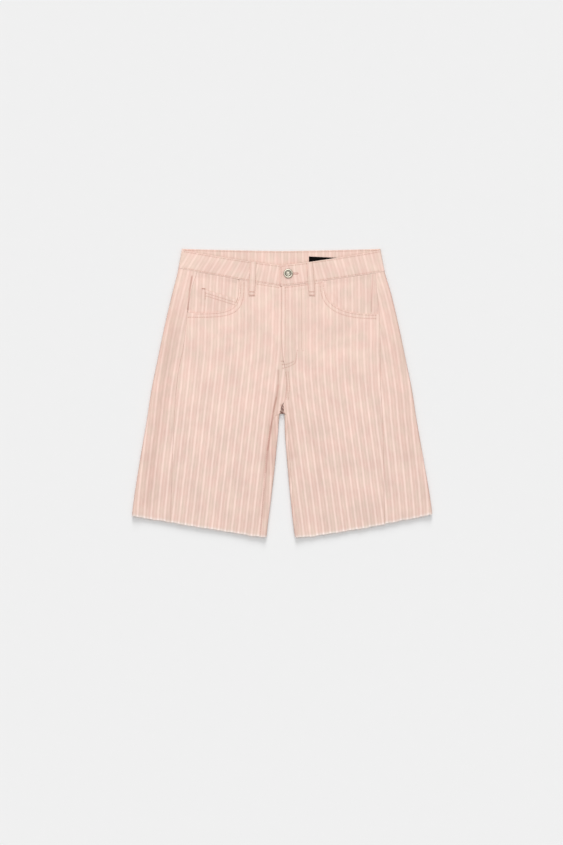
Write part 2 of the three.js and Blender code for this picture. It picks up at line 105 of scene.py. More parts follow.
def curve_through(table, column):
    rows = sorted(table)
    ys = np.array([row[0] for row in rows], float)
    values = np.array([row[column] for row in rows], float)
    slope = np.diff(values) / np.diff(ys)
    before, after = slope[:-1], slope[1:]
    same_way = before * after > 0
    inside = np.where(same_way, 2 * before * after / np.where(same_way, before + after, 1), 0)
    tangent = np.concatenate([slope[:1], inside, slope[-1:]])

    def curve(y):
        y = np.asarray(y, float)
        i = np.clip(np.searchsorted(ys, y) - 1, 0, len(ys) - 2)
        span = ys[i + 1] - ys[i]
        t = np.clip((y - ys[i]) / span, 0, 1)
        start = (2 * t**3 - 3 * t**2 + 1) * values[i] + (t**3 - 2 * t**2 + t) * span * tangent[i]
        end = (3 * t**2 - 2 * t**3) * values[i + 1] + (t**3 - t**2) * span * tangent[i + 1]
        return start + end

    return curve


def leg(name, sign, **sizes):
    column = 1 if name == "right" else 2
    curves = dict(
        out=curve_through(SIDE_LINE, column),
        inner=curve_through(INNER_LINE, column),
        outseam=curve_through(OUTSEAM, column),
        front_edge=curve_through(FRONT_EDGE, column),
    )
    return SimpleNamespace(name=name, sign=sign, **curves, **sizes)


RIGHT = leg("right", -1, low_rise=34, hem_rise=43, hem_power=1.15)
LEFT = leg("left", 1, low_rise=28, hem_rise=46, hem_power=1.35)
RIGHT.scoop = SimpleNamespace(reach=99, depth=75, low=153.4, power=4.5)
LEFT.scoop = SimpleNamespace(reach=104, depth=64.5, low=151.0, power=2.8)
LEGS = (RIGHT, LEFT)
print("hem width flat, right leg:", round(float(RIGHT.out(-232) - RIGHT.inner(-275))), "mm")

# %% [markdown]
# ## The edges across
# The waist, the seam beneath the waistband and the raw hem run across the shorts. A few real sizes describe
# each of them, so each is a short formula of the distance from the centre line: the front and its seam rise
# towards the sides, the back dips a little, and the hem shrank and frayed unevenly in the wash.

# %% Edges that run across the shorts
BACK_TOP, BACK_DIP, BAND_WIDTH = 275, 4.2, 38
FRONT_TOP, FRONT_LOW, FRONT_TOP_RISE = 243.8, 203.8, 29.5
WAIST_SIDE = 195
HEM_LOW, HEM_START, HEM_SPAN = -275, 28, 258
SEAM = 0.06  # what shows between pieces that are sewn together
HEM_SHRUNK, HEM_SHRUNK_SIDE = 2.4, 0.8  # how far the hem drew up, near the inseam and at the side
RAGGED = [  # waves along the cut: height, length, phase, drift of the phase, length of that drift
    (0.4, 17.3, 1.3, 0, 1), (0.3, 6.1, 0, 2, 31), (0.3, 2.7, 0, 3, 23), (0.2, 1.3, 0, 0, 1),
]


def mix(a, b, t):
    return a + (b - a) * t


def smooth(t, low, high):
    t = np.clip((t - low) / (high - low), 0, 1)
    return t * t * (3 - 2 * t)


def front_top(across):
    return FRONT_TOP + FRONT_TOP_RISE * (np.abs(across) / WAIST_SIDE) ** 1.2


def front_low(side, across):
    return FRONT_LOW + side.low_rise * (np.abs(across) / WAIST_SIDE) ** 1.1


def back_top(across):
    return BACK_TOP - BACK_DIP * (1 - np.minimum(1, np.abs(across) / WAIST_SIDE) ** 1.4)


def back_low(side, across):
    level = np.clip(np.abs(across) / WAIST_SIDE, 0, 1) ** 3
    return mix(back_top(across) - BAND_WIDTH, front_low(side, across), level)


def hem(side, across):
    across = np.asarray(across, float)
    line = HEM_LOW + side.hem_rise * (np.maximum(0, across - HEM_START) / HEM_SPAN) ** side.hem_power
    shrunk = mix(HEM_SHRUNK, HEM_SHRUNK_SIDE, smooth(across, 150, 280))
    ragged = sum(height * np.sin(across / length + phase + drift * np.sin(across / drift_length))
                 for height, length, phase, drift, drift_length in RAGGED)
    return line + shrunk + ragged


def edge_along(curve, height, t, start):
    """How far out each row t of a panel meets an edge, where the row's own height depends on that reach."""
    across = np.full(np.shape(t), float(start))
    for _ in range(12):  # each round comes much closer, and a dozen are exact enough
        across = curve(height(across, t))
    return across


print("front rise:", round(float(front_top(0) + 22)), "mm, waist flat:", 2 * WAIST_SIDE, "mm")

# %% [markdown]
# ## Creases
# Denim that was folded, worn into shape and laid down keeps soft creases: troughs along the thighs and at
# the crotch, short drag lines at the fly and the pockets, and a slow unevenness everywhere.
# The large ones are a table of troughs with their own length, depth and width. The unevenness is a sum of
# long sine waves that run in different directions, which repeats nowhere on a piece of this size.

# %% Height of the upper layer
THIGH_LEVEL, POCKET_LEVEL, FOLD_LEVEL = 3.5, 5.1, 5.4
BAND_LEVEL, BAND_FOLD_LEVEL = 5.2, 5.6
FOLD_REACH, FOLD_ROUND = 15, 3
FLY_END, FLY_WIDTH, FLY_LIFT, FLY_DIVE = 62, 38, 0.9, 0.7
OVERLAP_END, UNDERLAP_END, OVERLAP_SETTLE = -3.2, 30, 62

CREASES = [  # x0, y0, x1, y1, depth, half width
    (32, 2, 55, -76, 1.2, 10),
    (55, -76, 80, -205, 0.9, 13),
    (-8, 44, -11, -8, 1.0, 6),
    (-19, -52, -31, -168, 0.9, 8),
    (15, -30, 17, -118, 0.8, 8),
    (-188, 62, -201, -25, 0.7, 9),
    (171, 212, 172, 168, 0.9, 4),
    (14, 40, 12, -14, 0.5, 4),
    (-25, 30, -58, 8, 0.4, 6),
    (28, 40, 62, 22, 0.4, 6),
    (-60, -40, -72, -150, 0.45, 10),
    (118, -20, 128, -140, 0.4, 12),
    (-140, -60, -150, -190, 0.4, 13),
    (-100, 120, -130, 70, 0.35, 9),
    (110, 118, 96, 60, 0.35, 9),
    (-235, 30, -247, -70, 0.35, 9),
    (226, 60, 240, -50, 0.35, 9),
    (-90, -190, -104, -262, 0.5, 10),
    (150, -180, 162, -250, 0.45, 11),
    (205, -120, 216, -215, 0.35, 10),
    (-215, -130, -224, -225, 0.4, 10),
]
SWELLS = [  # height, wave length, heading in degrees, phase
    (0.14, 118, 12, 0.6),
    (0.12, 86, 74, 2.1),
    (0.10, 61, 133, 4.0),
    (0.08, 43, 38, 1.3),
    (0.06, 31, 101, 5.2),
    (0.04, 21, 163, 3.3),
]


def crease_depth(x, y):
    total = np.zeros(np.broadcast(x, y).shape)
    for x0, y0, x1, y1, depth, width in CREASES:
        dx, dy = x1 - x0, y1 - y0
        t = ((x - x0) * dx + (y - y0) * dy) / (dx * dx + dy * dy)
        along = np.clip(t, 0, 1)
        away = np.hypot(x - x0 - along * dx, y - y0 - along * dy)
        ends = np.sin(np.pi * np.clip(0.15 + 0.7 * t, 0, 1))
        total += depth * np.exp(-((away / width) ** 2)) * ends
    return total


def unevenness(x, y):
    total = np.zeros(np.broadcast(x, y).shape)
    for height, length, heading, phase in SWELLS:
        angle = math.radians(heading)
        total += height * np.sin(2 * np.pi * (x * math.cos(angle) + y * math.sin(angle)) / length + phase)
    return total


def upper_level(side, across, y):
    x = side.sign * across
    flat = mix(THIGH_LEVEL, POCKET_LEVEL, smooth(y, 70, 145)) - crease_depth(x, y) + unevenness(x, y)
    outer = np.exp(-(((side.out(y) - across) / FOLD_REACH) ** 2))
    inner = np.exp(-(((across - side.inner(y)) / FOLD_REACH) ** 2)) * (1 - smooth(y, -60, -16))
    return mix(flat, FOLD_LEVEL, np.maximum(outer, inner))


def front_level(side, across, y):
    x = side.sign * across
    opened = smooth(y, FLY_END - 18, FLY_END)
    lift = FLY_LIFT * (1 - smooth(x, FLY_WIDTH - 6, FLY_WIDTH + 14))
    dive = -FLY_DIVE * smooth(x, -24, -3)
    return upper_level(side, across, y) + opened * (lift if side.sign > 0 else dive)


print(len(CREASES), "creases, deepest", max(row[4] for row in CREASES), "mm")

# %% [markdown]
# ## A cloth shell
# A woven panel is one sheet with a thickness that shows at its edges. It could be a plane with a Solidify
# modifier, but here the shell is made directly from a grid of points: one face of the cloth, the other
# face, and a rim round them. A folded edge thins away towards its rim, so that it looks rolled.
# Each point also keeps its place on the flat cloth, across and along the stripes, as a UV in metres. The
# stripes are drawn from that, so they bend with the panel as woven ones do.

# %% Cloth shell
def steps(count):
    return np.linspace(0, 1, count + 1)


def edged_steps(count, length, fine=(0.12, 0.35, 0.8)):
    """Even steps from 0 to 1, with a few more close to both ends, given in mm of the whole length."""
    near = np.array(fine) / length
    even = steps(count)[1:-1]
    even = even[(even > near[-1] * 1.5) & (even < 1 - near[-1] * 1.5)]
    return np.concatenate([[0], near, even, 1 - near[::-1], [1]])


def grid_normals(grid):
    down = np.gradient(grid, axis=0)
    right = np.gradient(grid, axis=1)
    normal = np.cross(right, down)
    return normal / np.maximum(np.linalg.norm(normal, axis=2, keepdims=True), 1e-9)


def add_mesh(name, vertices, faces, cloth=None):
    mesh = bpy.data.meshes.new(name)
    mesh.from_pydata((np.asarray(vertices) * MM).tolist(), [], faces)
    if cloth is not None:
        layer = mesh.uv_layers.new(name="cloth")
        corner = np.empty(len(mesh.loops), dtype=np.int32)
        mesh.loops.foreach_get("vertex_index", corner)
        layer.data.foreach_set("uv", (np.asarray(cloth)[corner] * MM).astype(np.float32).ravel())
    mesh.shade_smooth()
    mesh.set_sharp_from_angle(angle=math.radians(50))
    mesh.update()
    piece = bpy.data.objects.new(name, mesh)
    bpy.context.scene.collection.objects.link(piece)
    return piece


def shell(name, grid, cloth, thickness, kept=None, thin=None):
    """A closed shell on a grid of points in mm. kept says which cells exist, thin scales the thickness."""
    rows, columns = grid.shape[:2]
    half = thickness / 2 * (np.ones((rows, columns)) if thin is None else thin)
    normal = grid_normals(grid)
    normal *= np.sign(normal[:, :, 2].sum()) if abs(normal[:, :, 2].sum()) > 1 else 1
    faces_points = np.concatenate([grid + normal * half[..., None], grid - normal * half[..., None]])
    cloth_points = np.concatenate([cloth, cloth]).reshape(-1, 2)
    if kept is None:
        kept = np.ones((rows - 1, columns - 1), bool)
    ids = np.arange(rows * columns).reshape(rows, columns)
    a, b, c, d = ids[:-1, :-1], ids[:-1, 1:], ids[1:, 1:], ids[1:, :-1]
    other = rows * columns
    near = np.stack([a, b, c, d], axis=2)[kept]
    far = near[:, ::-1] + other
    padded = np.pad(kept, 1)
    rims = []
    for edge_a, edge_b, missing in (
        (a, b, ~padded[:-2, 1:-1]),
        (b, c, ~padded[1:-1, 2:]),
        (c, d, ~padded[2:, 1:-1]),
        (d, a, ~padded[1:-1, :-2]),
    ):
        rim = kept & missing
        p, q = edge_a[rim], edge_b[rim]
        rims.append(np.stack([q, p, p + other, q + other], axis=1))
    faces = np.concatenate([near, far, *rims])
    points = faces_points.reshape(-1, 3)
    one = points[faces[0]]
    middle_normal = np.cross(one[1] - one[0], one[3] - one[0])
    if middle_normal @ normal.reshape(-1, 3)[faces[0][0]] < 0:
        faces = faces[:, ::-1]
    used = np.unique(faces)
    new_id = np.full(len(points), -1)
    new_id[used] = np.arange(len(used))
    return add_mesh(name, points[used], new_id[faces].tolist(), cloth_points[used])


def rolled(distance, radius=0.7, least=0.25):
    """Scale of the thickness near a folded edge, from the distance to it in mm."""
    t = np.clip(distance / radius, 0, 1)
    return np.maximum(least, np.sqrt(1 - (1 - t) ** 2))


print("finest steps at a folded edge: 0.12 mm")

# %% [markdown]
# ## Where the stripes run
# The stripes are woven, so on the flat cloth they are straight. On the legs they fan outwards below the
# fly, because the legs were spread as the shorts were laid down. That shift grows slowly from nothing to a
# steady slope, which a softplus curve gives. On the backs, where they wrap over, they follow the side.

# %% Stripe coordinates
STRIPE = 12.77  # from one light stripe to the next
RIGHT.spread = SimpleNamespace(start=91, slope=0.1135, phase=3.96, wrap_phase=2.9, wrap_slope=0.05)
LEFT.spread = SimpleNamespace(start=32, slope=0.1295, phase=2.99, wrap_phase=7.1, wrap_slope=0.07)


def softplus(t, width=20):
    return width * np.logaddexp(0, t / width)


def front_cloth(side, across, y):
    spread = side.spread
    u = across - spread.slope * softplus(spread.start - y) - spread.phase
    return np.stack([side.sign * u, y], axis=-1)


def wrap_cloth(side, from_side, y):
    """On the back panel: distance from the side fold along the cloth, and height."""
    spread = side.spread
    u = from_side - spread.wrap_slope * softplus(100 - y) - spread.wrap_phase
    return np.stack([-side.sign * u, y], axis=-1)


print("stripe period", STRIPE, "mm")

# %% [markdown]
# ## The fronts
# A front runs from the waistband to the raw hem, and from the fly and the inseam to the outseam. Its upper
# outer corner is cut away in a scoop for the pocket. The grid is laid without the scoop first, then the
# cells inside it are left out and the points round it are pulled onto the curve, so the cut stays clean.

# %% Fronts
DENIM = 1.2
FRONT_ROWS, FRONT_COLUMNS = 330, 138
FRONT_LENGTH, FRONT_WIDTH = 480, 190
HEM_STEPS = (0.3, 0.8)  # finer rows next to a raw hem
CUT_THIN = 0.45  # share of the thickness left round the scoop, where the edge is turned and pressed


def scoop_level(side, across, y):
    scoop = side.scoop
    sideways = np.maximum(0, side.outseam(scoop.low) - across) / scoop.reach
    down = np.maximum(0, scoop.low + scoop.depth - y) / scoop.depth
    return (sideways**scoop.power + down**scoop.power) ** (1 / scoop.power)


def pull_to_scoop(side, across, y, chosen):
    scoop = side.scoop
    centre, middle = side.outseam(scoop.low), scoop.low + scoop.depth
    level = np.maximum(scoop_level(side, across, y), 1e-6)
    across = np.where(chosen & (across < centre), centre - (centre - across) / level, across)
    y = np.where(chosen & (y < middle), middle - (middle - y) / level, y)
    return across, y


def front_panel(side):
    t = edged_steps(FRONT_ROWS, FRONT_LENGTH, HEM_STEPS)

    def height(across, t):
        return mix(front_low(side, across) - SEAM, hem(side, across), t)

    inner = edge_along(side.front_edge, height, t, 10) + SEAM / 2
    outer = edge_along(side.outseam, height, t, 190) - SEAM / 2
    s = edged_steps(FRONT_COLUMNS, FRONT_WIDTH)
    across = mix(inner[:, None], outer[:, None], s[None, :])
    y = height(across, t[:, None])
    centre_across = (across[1:, 1:] + across[:-1, :-1]) / 2
    centre_y = (y[1:, 1:] + y[:-1, :-1]) / 2
    kept = scoop_level(side, centre_across, centre_y) > 1
    padded = np.pad(kept, 1, mode="edge")
    touches_kept = padded[1:, 1:] | padded[:-1, 1:] | padded[1:, :-1] | padded[:-1, :-1]
    touches_cut = ~(padded[1:, 1:] & padded[:-1, 1:] & padded[1:, :-1] & padded[:-1, :-1])
    rim = touches_kept & touches_cut
    across, y = pull_to_scoop(side, across, y, rim)
    y = np.minimum(y, front_low(side, across) - SEAM)
    thin = np.where(rim, CUT_THIN, 1.0)
    thin = np.minimum(thin, rolled(across - inner[:, None]))
    thin = np.minimum(thin, rolled(outer[:, None] - across))
    grid = np.stack([side.sign * across, y, front_level(side, across, y)], axis=-1)
    return shell(f"front_{side.name}_cloth", grid, front_cloth(side, across, y), DENIM, kept, thin)


fronts = {side.name: front_panel(side) for side in LEGS}
print({name: len(piece.data.polygons) for name, piece in fronts.items()}, "faces")

# %% [markdown]
# ## The backs
# A back lies on the surface, turns up round the side fold and ends at the outseam, well over on the front
# side. Below the crotch it also turns up round the inner fold and ends at the inseam. Each row of the grid
# follows that whole way, with the rows of both folds close together so that they stay round.

# %% Backs
BACK_ROWS, BACK_LENGTH, WRAP_WIDTH = 300, 500, 80
BACK_SEAM = 2 * SEAM
STRIP_STEPS, ARC_STEPS, FLAT_STEPS, WRAP_STEPS = 8, 10, 36, 54
FOLD_WAY = 0.9 * math.pi * FOLD_ROUND  # length of cloth over a fold, which is a little flattened
CENTRE_FLAT = 22  # the first columns above the crotch end here
CROTCH = -38.5  # the legs part below this height


def fold_arc(edge, way, high, low, t):
    """Places across and up over a rounded fold, from its top at t = 0. way is -1 where it faces inwards."""
    turn = math.pi * t
    return edge - way * FOLD_ROUND * (1 - np.sin(turn)), (high + low) / 2 + (high - low) / 2 * np.cos(turn)


def joined(runs):
    """Joins runs of points, each given by its coordinates, where a coordinate may be one number."""
    return np.concatenate([np.broadcast_arrays(*run) for run in runs], axis=1)


def back_panel(side):
    t = edged_steps(BACK_ROWS, BACK_LENGTH, HEM_STEPS)
    low, around = DENIM / 2, steps(ARC_STEPS)

    def lower(across, t):
        return mix(back_low(side, across) - BACK_SEAM, hem(side, across), t)

    def upper(across, t):
        return mix(front_low(side, across) - BACK_SEAM, hem(side, across), t)

    outer = edge_along(side.out, lower, t, 240)
    inner = edge_along(side.inner, lower, t, 5)
    seam = edge_along(side.outseam, upper, t, 190) + SEAM / 2
    outer_y, inner_y = lower(outer, t), lower(np.maximum(inner, 0), t)
    ends = outer - FOLD_ROUND
    rows, clothes = [], []
    for k, end in enumerate(ends):
        if inner_y[k] < CROTCH:  # from the inseam, round the inner fold
            start = float(inner[k]) + FOLD_ROUND
            strip = mix(float(side.front_edge(inner_y[k])) - SEAM, start, steps(STRIP_STEPS)[:-1])
            strip_z = upper_level(side, strip, inner_y[k])
            high = float(upper_level(side, start, inner_y[k]))
            arc_across, arc_z = fold_arc(inner[k], -1, high, low, around)
            runs = [(strip, inner_y[k], strip_z, -(end - start) - 2 * FOLD_WAY - (strip - start)),
                    (arc_across, inner_y[k], arc_z, -(end - start) - FOLD_WAY * (2 - around))]
        else:  # from the centre back seam
            start = CENTRE_FLAT
            count = STRIP_STEPS + ARC_STEPS + 1
            flat = mix(SEAM / 2, start, np.arange(count) / count)
            runs = [(flat, inner_y[k], low, -(end - flat) - FOLD_WAY)]
        flat = mix(start, end, steps(FLAT_STEPS)[1:-1])
        runs.append((flat, lower(flat, t[k]), low, -(end - flat) - FOLD_WAY))
        high = float(upper_level(side, end, outer_y[k]))
        arc_across, arc_z = fold_arc(outer[k], 1, high, low, around[::-1])
        runs.append((arc_across, outer_y[k], arc_z, FOLD_WAY * (around - 1)))
        wrap = mix(end, seam[k], edged_steps(WRAP_STEPS, WRAP_WIDTH)[1:])
        wrap_y = upper(wrap, t[k])
        runs.append((wrap, wrap_y, upper_level(side, wrap, wrap_y), end - wrap))
        across, y, z, from_side = joined(runs)
        rows.append(np.stack([side.sign * across, y, z], axis=-1))
        clothes.append(wrap_cloth(side, from_side, y))
    grid = np.array(rows)
    from_seam = np.abs(grid[:, :, 0] - grid[:, -1:, 0])
    on_top = np.arange(grid.shape[1]) > grid.shape[1] - WRAP_STEPS
    thin = np.where(on_top[None, :], rolled(from_seam), 1.0)
    return shell(f"back_{side.name}_cloth", grid, np.array(clothes), DENIM, None, thin)


backs = {side.name: back_panel(side) for side in LEGS}
print({name: len(piece.data.polygons) for name, piece in backs.items()}, "faces")

# %% [markdown]
# ## Pocket facings and the coin pocket
# Inside each scoop shows a facing of the same denim. It is sewn into the outseam and the waistband, dips
# below the front at the opening, and the right one carries a small coin pocket.

# %% Facings and coin pocket
FACING, FACING_UNDER, FACING_DROP = 0.7, 14, 1.1
FACING_ROWS, FACING_COLUMNS = 86, 108
COIN = SimpleNamespace(outer=146.8, inner=80, top_outer=198, top_inner=177, low=136, drop=0.85, rows=36,
                       columns=44, phase=2.0, lean=-0.06)
RIGHT.facing = SimpleNamespace(drop=FACING_DROP + COIN.drop, phase=9.0, lean=-0.05)
LEFT.facing = SimpleNamespace(drop=FACING_DROP, phase=6.5, lean=0.01)


def facing_level(side, across, y):
    level = scoop_level(side, across, y)
    drop = mix(1.0, side.facing.drop, smooth(level, 0.5, 0.93))
    beside = smooth(side.outseam(y) - across, SEAM, 12)
    sewn_edge = front_low(side, across)
    drop = drop * (1 - 0.9 * smooth(y, sewn_edge - 9, sewn_edge - 0.5) * (1 - smooth(level, 0.93, 1.01)))
    return upper_level(side, across, y) - drop * np.maximum(beside, smooth(level, 0.8, 0.97))


def facing_cloth(side, across, y, cut):
    return np.stack([side.sign * (across - cut.phase) + cut.lean * (y - 180), y], axis=-1)


def pocket_facing(side):
    low = side.scoop.low - FACING_UNDER
    start = side.outseam(side.scoop.low) - side.scoop.reach - FACING_UNDER
    t = steps(FACING_ROWS)

    def height(across, t):
        return mix(front_low(side, across) - SEAM, low, t)

    outer = edge_along(side.outseam, height, t, 180) - SEAM
    across = mix(start, outer[:, None], steps(FACING_COLUMNS)[None, :])
    y = height(across, t[:, None])
    grid = np.stack([side.sign * across, y, facing_level(side, across, y)], axis=-1)
    return shell(f"pocket_facing_{side.name}_cloth", grid, facing_cloth(side, across, y, side.facing), FACING)


def coin_pocket(side):
    s = edged_steps(COIN.columns, COIN.outer - COIN.inner)
    t = edged_steps(COIN.rows, COIN.top_outer - COIN.low)
    across = np.broadcast_to(mix(COIN.inner, COIN.outer, s)[None, :], (len(t), len(s)))
    top = mix(COIN.top_inner, COIN.top_outer, s)[None, :]
    y = mix(top, COIN.low, t[:, None])
    z = facing_level(side, across, y) + FACING + SEAM
    thin = np.minimum(rolled(top - y), rolled(COIN.outer - across))
    grid = np.stack([side.sign * across, y, z], axis=-1)
    return shell("coin_pocket_cloth", grid, facing_cloth(side, across, y, COIN), FACING, None, thin)


facings = {side.name: pocket_facing(side) for side in LEGS}
coin = coin_pocket(RIGHT)
print("coin pocket", COIN.outer - COIN.inner, "mm wide")

# %% [markdown]
# ## The waistband
# The waistband is one folded strip. It starts beneath the overlap at the centre front, runs round the right
# fold, across the back and round the left fold, and ends on top of its own start. It is cut on a slight
# bias to the body, so its stripes lean where the front rises to the sides, and stand straight at the back.

# %% Waistband
BAND, BAND_LIFT = 2.0, 1.2
BAND_FRONT_STEPS, BAND_ARC_STEPS, BAND_BACK_STEPS = 100, 12, 90
BAND_STRETCH = 0.925  # the stripes stand a little closer on the band than on the legs
BAND_FOLD_WAY = 0.95 * math.pi * FOLD_ROUND
RIGHT.lean = (7.0, 20.0)  # how far a stripe leans over the band's width, at the front and at the side
LEFT.lean = (-5.0, -11.0)


def band_front(side, x):
    under = BAND_LEVEL - 1.0 * smooth(x, -30, -4)
    over = BAND_LEVEL + BAND_LIFT * (1 - smooth(x, UNDERLAP_END + 2, OVERLAP_SETTLE))
    fold = np.exp(-(((WAIST_SIDE - np.abs(x)) / FOLD_REACH) ** 2))
    return mix(under if side.sign < 0 else over, BAND_FOLD_LEVEL, fold)


def band_place(side, reach, v):
    """The middle of the band's cloth on the front, at a reach from the centre line and v up its width."""
    x = side.sign * reach
    y = mix(front_low(side, reach), np.minimum(front_top(reach), back_top(reach)), v)
    return x, y, band_front(side, x) + 0.5 * unevenness(x, y)


def band_edge(side, v):
    """How far out the band's side fold is, v up its width."""
    return float(edge_along(side.out, lambda x, v: mix(back_low(side, x), back_top(x), v), v, 190))


def band_half(side, start, v):
    """Half of the strip, from its front end to the centre back, for one row v up its width."""
    edge = band_edge(side, v)
    end = edge - FOLD_ROUND
    reach = mix(start, end, edged_steps(BAND_FRONT_STEPS, 190))
    x, y, z = band_place(side, reach, v)
    u = BAND_STRETCH * (x - mix(*side.lean, smooth(reach, 20, 85)) * v)
    around = steps(BAND_ARC_STEPS)[1:]
    arc_across, arc_z = fold_arc(edge, 1, z[-1], BAND / 2, around)
    arc_y = mix(float(back_low(side, edge)), float(back_top(edge)), v)
    back_reach = mix(end, 0, steps(BAND_BACK_STEPS)[1:])
    back_y = mix(back_low(side, back_reach), back_top(back_reach), v)
    points = joined([(x, y, z), (side.sign * arc_across, arc_y, arc_z),
                     (side.sign * back_reach, back_y, BAND / 2)]).T
    travelled = np.concatenate([BAND_FOLD_WAY * around, BAND_FOLD_WAY + end - back_reach])
    middle_end = band_edge(side, 0.5) - FOLD_ROUND
    middle_u = BAND_STRETCH * (side.sign * middle_end - side.lean[1] / 2)
    reaches = np.concatenate([mix(edge, end, around), back_reach])
    upright = middle_u + side.sign * (BAND_FOLD_WAY + middle_end - reaches)
    u_rest = mix(upright, u[-1] + side.sign * travelled, np.exp(-travelled / 12))
    cloth = np.stack([np.concatenate([u, u_rest]), np.full(len(points), v * BAND_WIDTH)], axis=-1)
    return points, cloth


def waistband():
    v_steps = edged_steps(22, BAND_WIDTH, (0.2, 0.55, 1.1))
    rows, clothes = [], []
    right_end = band_half(RIGHT, -UNDERLAP_END, 0.5)[1][-1, 0]
    left_end = band_half(LEFT, OVERLAP_END, 0.5)[1][-1, 0]
    whole = STRIPE * round((right_end - left_end) / STRIPE)
    for v in v_steps:
        right_points, right_cloth = band_half(RIGHT, -UNDERLAP_END, v)
        left_points, left_cloth = band_half(LEFT, OVERLAP_END, v)
        apart = right_cloth[-1, 0] - left_cloth[-1, 0]
        back_steps = len(left_cloth) - 1 - BAND_FRONT_STEPS
        on_back = np.clip((np.arange(len(left_cloth)) - BAND_FRONT_STEPS) / back_steps, 0, 1)
        left_cloth[:, 0] += whole + (apart - whole) * on_back
        rows.append(np.concatenate([right_points, left_points[:-1][::-1]]))
        clothes.append(np.concatenate([right_cloth, left_cloth[:-1][::-1]]))
    grid = np.array(rows)
    from_edge = np.minimum(v_steps, 1 - v_steps) * BAND_WIDTH
    thin = np.repeat(rolled(from_edge, 0.6, 0.6)[:, None], grid.shape[1], axis=1)
    from_end = np.abs(grid[:, :, 0] - grid[:, -1:, 0])
    near_end = np.arange(grid.shape[1]) > grid.shape[1] - 12
    thin = np.where(near_end[None, :], np.minimum(thin, rolled(from_end, 1.0)), thin)
    return shell("waistband_cloth", grid, np.array(clothes), BAND, None, thin)


band = waistband()
print("waistband", len(band.data.polygons), "faces")

# %% [markdown]
# ## Belt loops
# A belt loop is a narrow strip, folded in three and pressed, with a row of stitching along each edge. It is
# caught in the waistband's top edge and tacked down below the waistband, and stands off a little between.

# %% Belt loops
LOOP, LOOP_WIDTH, LOOP_LOW, LOOP_PUFF = 1.2, 11, 185.5, 0.35
RIGHT.loop = (-54.0, -57.0)
LEFT.loop = (52.8, 57.5)


def belt_loop(side):
    top_x, low_x = side.loop
    high, edge = float(front_top(top_x)), float(front_low(side, top_x))
    t = edged_steps(60, high - LOOP_LOW, (0.15, 0.5))[:, None]
    s = edged_steps(14, LOOP_WIDTH, (0.15, 0.5))[None, :] - 0.5
    x = mix(top_x, low_x, t) + s * LOOP_WIDTH
    y = mix(high, LOOP_LOW, t) + 0 * s
    band_z = band_front(side, x) + BAND / 2
    front_z = front_level(side, np.abs(x), y) + DENIM / 2
    rise = smooth(y, edge - 6, edge + 1)
    puff = LOOP_PUFF * np.sin(np.pi * t) + 0.12 * np.cos(2 * np.pi * s) ** 2
    z = mix(front_z, band_z, rise) + SEAM + LOOP / 2 + puff + 0.1
    grid = np.stack([x, y, z], axis=-1)
    thin = rolled((0.5 - np.abs(s)) * LOOP_WIDTH, 0.7) * np.ones_like(y)
    cloth = np.stack([s * LOOP_WIDTH + 0 * y, y + 0 * x], axis=-1)
    return shell(f"belt_loop_{side.name}_cloth", grid, cloth, LOOP, None, thin)


loops = {side.name: belt_loop(side) for side in LEGS}
print("belt loops", LOOP_WIDTH, "mm wide")

# %% [markdown]
# ## The label
# A plain woven label is sewn inside the back waistband. Only a corner of it shows over the front edge.

# %% Label
LABEL = SimpleNamespace(width=57.4, height=32.7, left=51.6, right=110.0, top=260.6, low=226.0, slope=0.048,
                        thickness=0.6)


def woven_label():
    s = edged_steps(40, LABEL.width, (0.1, 0.3))[None, :]
    t = edged_steps(24, LABEL.height, (0.1, 0.3))[:, None]
    x = mix(LABEL.left, LABEL.right, s) + 0 * t
    y = mix(LABEL.top, LABEL.low, t) - LABEL.slope * (x - LABEL.left)
    z = BAND + SEAM + LABEL.thickness / 2 + 0.05 * np.sin(x / 7) * np.sin(y / 9)
    thin = np.minimum(rolled(s * LABEL.width + 0 * t, 0.35), rolled(t * LABEL.height + 0 * s, 0.35))
    grid = np.stack([x, y, z], axis=-1)
    return shell("label_cloth", grid, grid[..., :2], LABEL.thickness, None, thin)


label = woven_label()
print("label", LABEL.width, "by", LABEL.height, "mm, mostly hidden")

# %% [markdown]
# ## The button
# A jeans button is a thin shell of pressed brass, plated, closed over a shank. Seen from above it is a flat
# rim, a groove, and a low crown. A profile turned about its axis gives all of that. The real one has a
# stamped design, and this one has a plain ring of small beads in its place.

# %% Button
BUTTON_X, BUTTON_Y, BUTTON_RADIUS = 12.2, 227.9, 8.8
SHANK = 3.0
BUTTON_FOOT = BAND_LEVEL - 1.0 + BAND / 2 + SEAM
BUTTON_UNDER = BAND_LEVEL + BAND_LIFT + BAND / 2 + 0.2
BUTTON_TOP = BUTTON_UNDER + 3.2
TURNS = 96


def ring_quads(rings, sides, first=0):
    """Faces that join rings of points, each ring with the same number of sides."""
    quads = []
    for ring in range(rings - 1):
        here, there = first + ring * sides, first + (ring + 1) * sides
        for k in range(sides):
            n = (k + 1) % sides
            quads.append((here + k, here + n, there + n, there + k))
    return quads


def turned(profile, turns):
    """A solid turned about an upright axis, from a profile that starts and ends on the axis."""
    angle = 2 * np.pi * np.arange(turns) / turns
    points = [(r * math.cos(a), r * math.sin(a), z) for r, z in profile[1:-1] for a in angle]
    first, last = len(points), len(points) + 1
    points += [(0, 0, profile[0][1]), (0, 0, profile[-1][1])]
    faces = ring_quads(len(profile) - 2, turns)
    for k in range(turns):
        n = (k + 1) % turns
        faces += [(first, n, k), (last, first - turns + k, first - turns + n)]
    return np.array(points), faces


